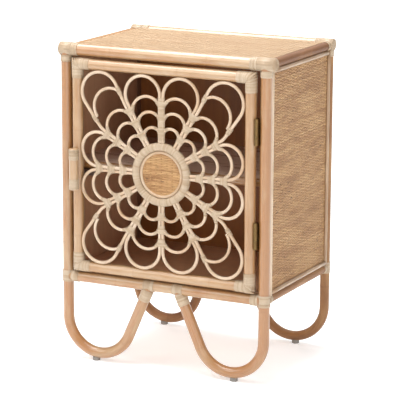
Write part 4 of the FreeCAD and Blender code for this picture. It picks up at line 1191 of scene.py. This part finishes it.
def build_door_frame():
    for side, name, seed in ((1, "hinge_stile", 71), (-1, "latch_stile", 72)):
        path = (door_point(side * stile_x, -door_half_height), door_point(side * stile_x, door_half_height))
        pole_piece(name, path, door_pole_radius, seed, rounding=10.0)
    reach = stile_x - door_rail_tuck
    for side, name, seed in ((1, "door_top_rail", 73), (-1, "door_bottom_rail", 74)):
        path = (door_point(-reach, side * door_rail_z), door_point(reach, side * door_rail_z))
        pole_piece(name, path, door_rail_radius, seed)
    turns = Turns()
    for side_x in (-1, 1):
        for side_z in (-1, 1):
            bind_door_corner(turns, side_x, side_z)
    turns.fit("door_corner", "door", "door_corner_bindings", door_pole_radius, case_turn_width,
              door_corner_wrap * turn_share, thick_turn_steps, thick_turn_lean, 9)


def bind_door_corner(turns, side_x, side_z):
    """Turns that fan round the corner's inner edge, then run on along the stile and the rail."""
    fan_turns, fan_step = 11, 9
    longest = 2.7 * door_pole_radius
    fan_rise, fan_sink, fan_gap = 0.2, 0.1, 1

    def spot(x, z):
        return door_point(side_x * x, side_z * z)

    inner = np.array(spot(stile_x - door_pole_radius, door_rail_z - door_rail_radius))
    for index in range(fan_turns):
        angle = math.radians(fan_step * index)
        cos, sin = math.cos(angle), math.sin(angle)
        reach = min(2 * door_pole_radius / max(cos, 0.01), 2 * door_rail_radius / max(sin, 0.01), longest)
        spoke = np.array((side_x * cos, 0, side_z * sin))
        turns.one(inner + spoke * reach / 2, (-side_x * sin, 0, side_z * cos), reach / 2 + fan_rise,
                  door_pole_radius - fan_sink)
    turns.sleeve(spot(stile_x, door_half_height - 2 * door_rail_radius - fan_gap),
                 spot(stile_x, door_half_height - door_corner_wrap_length), door_pole_radius)
    turns.sleeve(spot(door_half_width - 2 * door_pole_radius - fan_gap, door_rail_z),
                 spot(door_half_width - door_corner_wrap_length, door_rail_z), door_rail_radius)


# ---- petal grille -------------------------------------------------------------------------
reach_x = stile_x - math.sqrt((door_pole_radius + petal_cane_radius) ** 2 - grille_setting ** 2)
reach_z = door_rail_z - math.sqrt((door_rail_radius + petal_cane_radius) ** 2 - grille_setting ** 2)
spoke_step = 360 / petal_count
half_step = spoke_step / 2
half_cos, half_sin = math.cos(math.radians(half_step)), math.sin(math.radians(half_step))


def grille_point(x, z):
    return np.array((x, grille_y, door_middle + z))


def way(degrees):
    x, z = polar(1, degrees)
    return np.array((x, 0, z))


def middle_angle(low, high):
    return math.radians((low + high) / 2)


def reaches_corner(low, high):
    middle = math.degrees(middle_angle(low, high)) % 90
    return abs(middle - 45) < half_step


def plain_circle(reach):
    distance = (reach + cane_offset) / (half_cos + half_sin)
    return distance, distance * half_sin - cane_offset


def petal_half_spread(reach):
    distance, radius = plain_circle(reach)
    return distance * half_sin + radius


corner_petal_radius = min(
    reach_x - petal_half_spread(reach_z), reach_z - petal_half_spread(reach_x)
) / 2 - corner_petal_gap / 2 - petal_cane_radius
corner_arch_radius = corner_petal_radius - corner_arch_tighter
row_step = (min(reach_x, reach_z) - last_row_gap - ring_radius - ring_wrap_radius) / arch_rows
row_tips = [ring_radius + ring_wrap_radius + row_step * (row + 1) for row in range(arch_rows)]


def beside(distance, spoke, side):
    """A place along a spoke, moved to the cane on one side of it."""
    x, z = polar(distance, spoke)
    off_x, off_z = polar(cane_offset, spoke + 90 * side)
    return x + off_x, z + off_z


def petal_path(low, steps):
    x, z = beside(ring_radius, low, 1)
    return bent_path(grille_y, (x, door_middle + z), low, steps)


def plain_petal(low, high):
    middle = middle_angle(low, high)
    reach = reach_x if abs(math.cos(middle)) > abs(math.sin(middle)) else reach_z
    distance, radius = plain_circle(reach)
    leg = distance * half_cos - ring_radius
    return petal_path(low, [leg, (radius, 180 + spoke_step), leg])


def corner_circle(low, high):
    middle = middle_angle(low, high)
    return (math.copysign(reach_x - corner_petal_radius, math.cos(middle)),
            math.copysign(reach_z - corner_petal_radius, math.sin(middle)))


def corner_leg(spoke, side, centre):
    """A corner petal's leg past its kink: the kink's place, its heading and its length to the arc."""
    kink = beside(math.hypot(*centre) - corner_kink_gap, spoke, side)
    dx, dz = centre[0] - kink[0], centre[1] - kink[1]
    distance = math.hypot(dx, dz)
    heading = bearing(dx, dz) - side * math.degrees(math.asin(corner_petal_radius / distance))
    turn = (heading - spoke + 180) % 360 - 180
    return kink, spoke + turn, turn, math.sqrt(distance ** 2 - corner_petal_radius ** 2)


def corner_petal(low, high):
    centre = corner_circle(low, high)
    _, first_heading, first_turn, first_length = corner_leg(low, 1, centre)
    _, last_heading, last_turn, last_length = corner_leg(high, -1, centre)
    trim_first, trim_last = (corner_kink_radius * math.tan(math.radians(abs(turn)) / 2)
                             for turn in (first_turn, last_turn))
    leg = math.hypot(*centre) - corner_kink_gap - ring_radius
    return petal_path(low, [
        leg - trim_first, (corner_kink_radius, first_turn), first_length - trim_first,
        (corner_petal_radius, last_heading + 180 - first_heading), last_length - trim_last,
        (corner_kink_radius, -last_turn), leg - trim_last,
    ])


def arch_path(centre, radius, start, turn):
    """An arc of the grille that starts at a bearing from its centre."""
    from_x, from_z = polar(radius, start)
    place = (centre[0] + from_x, door_middle + centre[1] + from_z)
    return bent_path(grille_y, place, start + 90, [(radius, turn)])


def row_circle(tip):
    """Distance and radius of an arch's circle, so that it ends on the legs at the meeting angle."""
    meeting = math.cos(math.radians(arch_meeting_angle))
    distance = (tip + cane_offset / meeting) / (1 + half_sin / meeting)
    return distance, tip - distance


def row_arch(low, high, tip):
    distance, radius = row_circle(tip)
    axis = (low + high) / 2
    half_span = 90 + half_step - arch_meeting_angle
    return arch_path(polar(distance, axis), radius, axis - half_span, 2 * half_span)


def arch_end(centre, place, heading):
    """Where the corner arch's circle crosses a petal's leg, and that place's bearing."""
    run_x, run_z = polar(1, heading)
    dx, dz = centre[0] - place[0], centre[1] - place[1]
    along = dx * run_x + dz * run_z
    aside = dx * run_z - dz * run_x
    along += math.sqrt(max(corner_arch_radius ** 2 - aside ** 2, 0))
    cross = (place[0] + along * run_x, place[1] + along * run_z)
    return cross, bearing(cross[0] - centre[0], cross[1] - centre[1])


def corner_arch(low, high):
    """The arch inside a corner petal, and where it is tied to the petal's legs."""
    circle = corner_circle(low, high)
    reach = math.hypot(*circle)
    share = (reach + corner_petal_radius - corner_arch_tip_gap - corner_arch_radius) / reach
    centre = (circle[0] * share, circle[1] * share)
    ties, angles = [], []
    for spoke, side in ((low, 1), (high, -1)):
        place, heading, _, _ = corner_leg(spoke, side, circle)
        cross, angle = arch_end(centre, place, heading)
        ties.append((cross, heading))
        angles.append(angle)
    first, last = angles
    return arch_path(centre, corner_arch_radius, first, (last - first) % 360), ties


def tie_corner_arch(turns, places):
    for cross, heading in places:
        middle = grille_point(*cross)
        half = way(heading) * corner_arch_wrap_length / 2
        turns.sleeve(middle - half, middle + half, petal_cane_radius + arch_turn_room, petal_cane_radius,
                     corner_arch_turn_pitch)


def tie_arch_ends(turns, path):
    """Three narrow turns near each end of an arch."""
    seat = arch_cane_radius - turn_sink
    for end, inwards in ((0, 1), (length_of(path), -1)):
        for place in arch_tie_places:
            spot = end + inwards * place
            here, there = at(path, np.array([spot, spot + 0.5]))
            run = (there - here) / np.linalg.norm(there - here)
            turns.one(here, run, seat, seat, arch_tie_width)


def tie_spoke(turns, spoke, index):
    """The lashings on one spoke, which spread outwards from the ring. The top one has a full sleeve."""
    least_flare, row_flare, flare_start = 0.4, 0.12, 1.5
    hub, run = grille_point(0, 0), way(spoke)
    if index == petal_count // 4:
        turns.sleeve(hub + run * (ring_radius + ring_wrap_radius), hub + run * (row_tips[-1] - 4),
                     2 * petal_cane_radius, petal_cane_radius, full_sleeve_pitch)
    for row, tip in enumerate(row_tips):
        distance, radius = row_circle(tip)
        end_reach = distance * half_cos + radius * math.sin(math.radians(arch_meeting_angle))
        flare = least_flare + row_flare * row
        for step in range(spoke_wrap_turns):
            along = (step + 0.5) * spoke_wrap_length / spoke_wrap_turns
            along = along - spoke_wrap_length / 2 + spoke_wrap_shift
            spread = 2 * petal_cane_radius + fit_gap + flare * max(0.0, along + flare_start)
            turns.one(hub + run * (end_reach + along), run, spread, petal_cane_radius + turn_sink)


def build_grille():
    plain, corner_petals, arches, corner_arches = Piece(), Piece(), Piece(), Piece()
    ties, corner_ties = Turns(), Turns()
    for index in range(petal_count):
        low, high = index * spoke_step, (index + 1) * spoke_step
        if reaches_corner(low, high):
            petals, petal = corner_petals, corner_petal(low, high)
            path, places = corner_arch(low, high)
            sweep(corner_arches, path, arch_cane_radius, 14, pace=4.0, seed=120 + index)
            tie_corner_arch(corner_ties, places)
        else:
            petals, petal = plain, plain_petal(low, high)
        sweep(petals, petal, petal_cane_radius, 14, pace=4.0, seed=100 + index)
        for row, tip in enumerate(row_tips):
            path = row_arch(low, high, tip)
            sweep(arches, path, arch_cane_radius, 12, pace=3.0, seed=140 + index * 4 + row)
            tie_arch_ends(ties, path)
        tie_spoke(ties, low, index)
    for name, piece in (("side_petals", plain), ("corner_petals", corner_petals), ("inner_arches", arches),
                        ("corner_arches", corner_arches)):
        piece.fit(name + "_cane", thin_cane, "door", "cane", name)
    thin_turns = (thin_turn_width, thin_turn_thickness, thin_turn_steps, thin_turn_lean)
    ties.fit("spoke", "door", "spoke_bindings", 2 * petal_cane_radius, *thin_turns, 4)
    corner_ties.fit("corner_arch", "door", "corner_arch_bindings", corner_arch_turn_radius, *thin_turns, 6)


def build_ring():
    steps = 120
    rim_radius = ring_radius - ring_wrap_radius - rim_cane_radius
    seat = ring_wrap_radius - ring_peel
    angles = np.linspace(0, math.tau, steps + 1)
    for name, node, radius, cane, sides, pace, seed in (
        ("disc_rim_cane", "disc_rim", rim_radius, rim_cane_radius, 14, 4.0, 201),
        ("centre_ring_core", "centre_ring", ring_radius, seat, 16, 5.0, 202),
    ):
        hoop = Piece()
        path = np.stack([radius * np.cos(angles), np.full(steps + 1, grille_y),
                         door_middle + radius * np.sin(angles)], axis=1)
        sweep(hoop, path, cane, sides, pace=pace, closed=True, seed=seed)
        hoop.fit(name, thin_cane, "door", "cane", node)
    turns = Turns()
    for angle in (math.tau * index / ring_turn_count for index in range(ring_turn_count)):
        cos, sin = math.cos(angle), math.sin(angle)
        turns.one(grille_point(ring_radius * cos, ring_radius * sin), (-sin, 0, cos), seat)
    turns.fit("centre_ring", "door", "centre_ring_wrap", seat, ring_turn_width, ring_turn_thickness, 18,
              ring_turn_lean, 21)
    mat_middle = grille_y - rim_cane_radius + disc_mat_setback + disc_mat_thickness / 2
    lay_mat("disc", "door", "disc_mat", (0, mat_middle, door_middle), (0.0, "Z"), 2 * rim_radius,
            2 * rim_radius, disc_weave, 17, 2.6, rim_radius - disc_mat_gap, disc_mat_thickness)


def build_handle():
    def spot(height):
        return (-stile_x, handle_y, height)

    low, high = handle_height - handle_length / 2, handle_height + handle_length / 2
    pole_piece("handle_bar", (spot(low), spot(high)), handle_radius, 301, rounding=2.5)
    turns = Turns()
    for start in (low + handle_wrap_inset, high - handle_wrap_inset - handle_wrap_length):
        turns.sleeve(spot(start), spot(start + handle_wrap_length), handle_radius)
    turns.fit("handle", "door", "handle_bindings", handle_radius, handle_turn_width,
              handle_wrap * turn_share, thick_turn_steps, thick_turn_lean, 31)


# ---- finishes on the solids that are kept -------------------------------------------------
kept_finishes = {
    case_board_painted_shade: ("back_board", "top_board"),
    disc_backing: ("disc_board",),
    side_board: ("left_side_board", "right_side_board", "floor_board", "shelf_cleats"),
    shelf_wood: ("shelf_board",),
    brass: ("hinge_cabinet_leaves", "hinge_door_leaves", "hinge_pins", "hinge_cabinet_screws",
            "hinge_door_screws"),
    steel: ("cabinet_nails", "door_nails", "strike_plate"),
    glide_plastic: ("foot_glides",),
    catch_plastic: ("magnetic_catch",),
}


def finish_kept_solids():
    for material, names in kept_finishes.items():
        for name in names:
            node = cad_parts[name]
            node.data.materials.clear()
            node.data.materials.append(material)


aim_camera()
light_studio()
lay_floor()
build_legs()
build_rails()
bind_case()
lay_mats()
lay_strips()
build_door_frame()
build_grille()
build_ring()
build_handle()
finish_kept_solids()
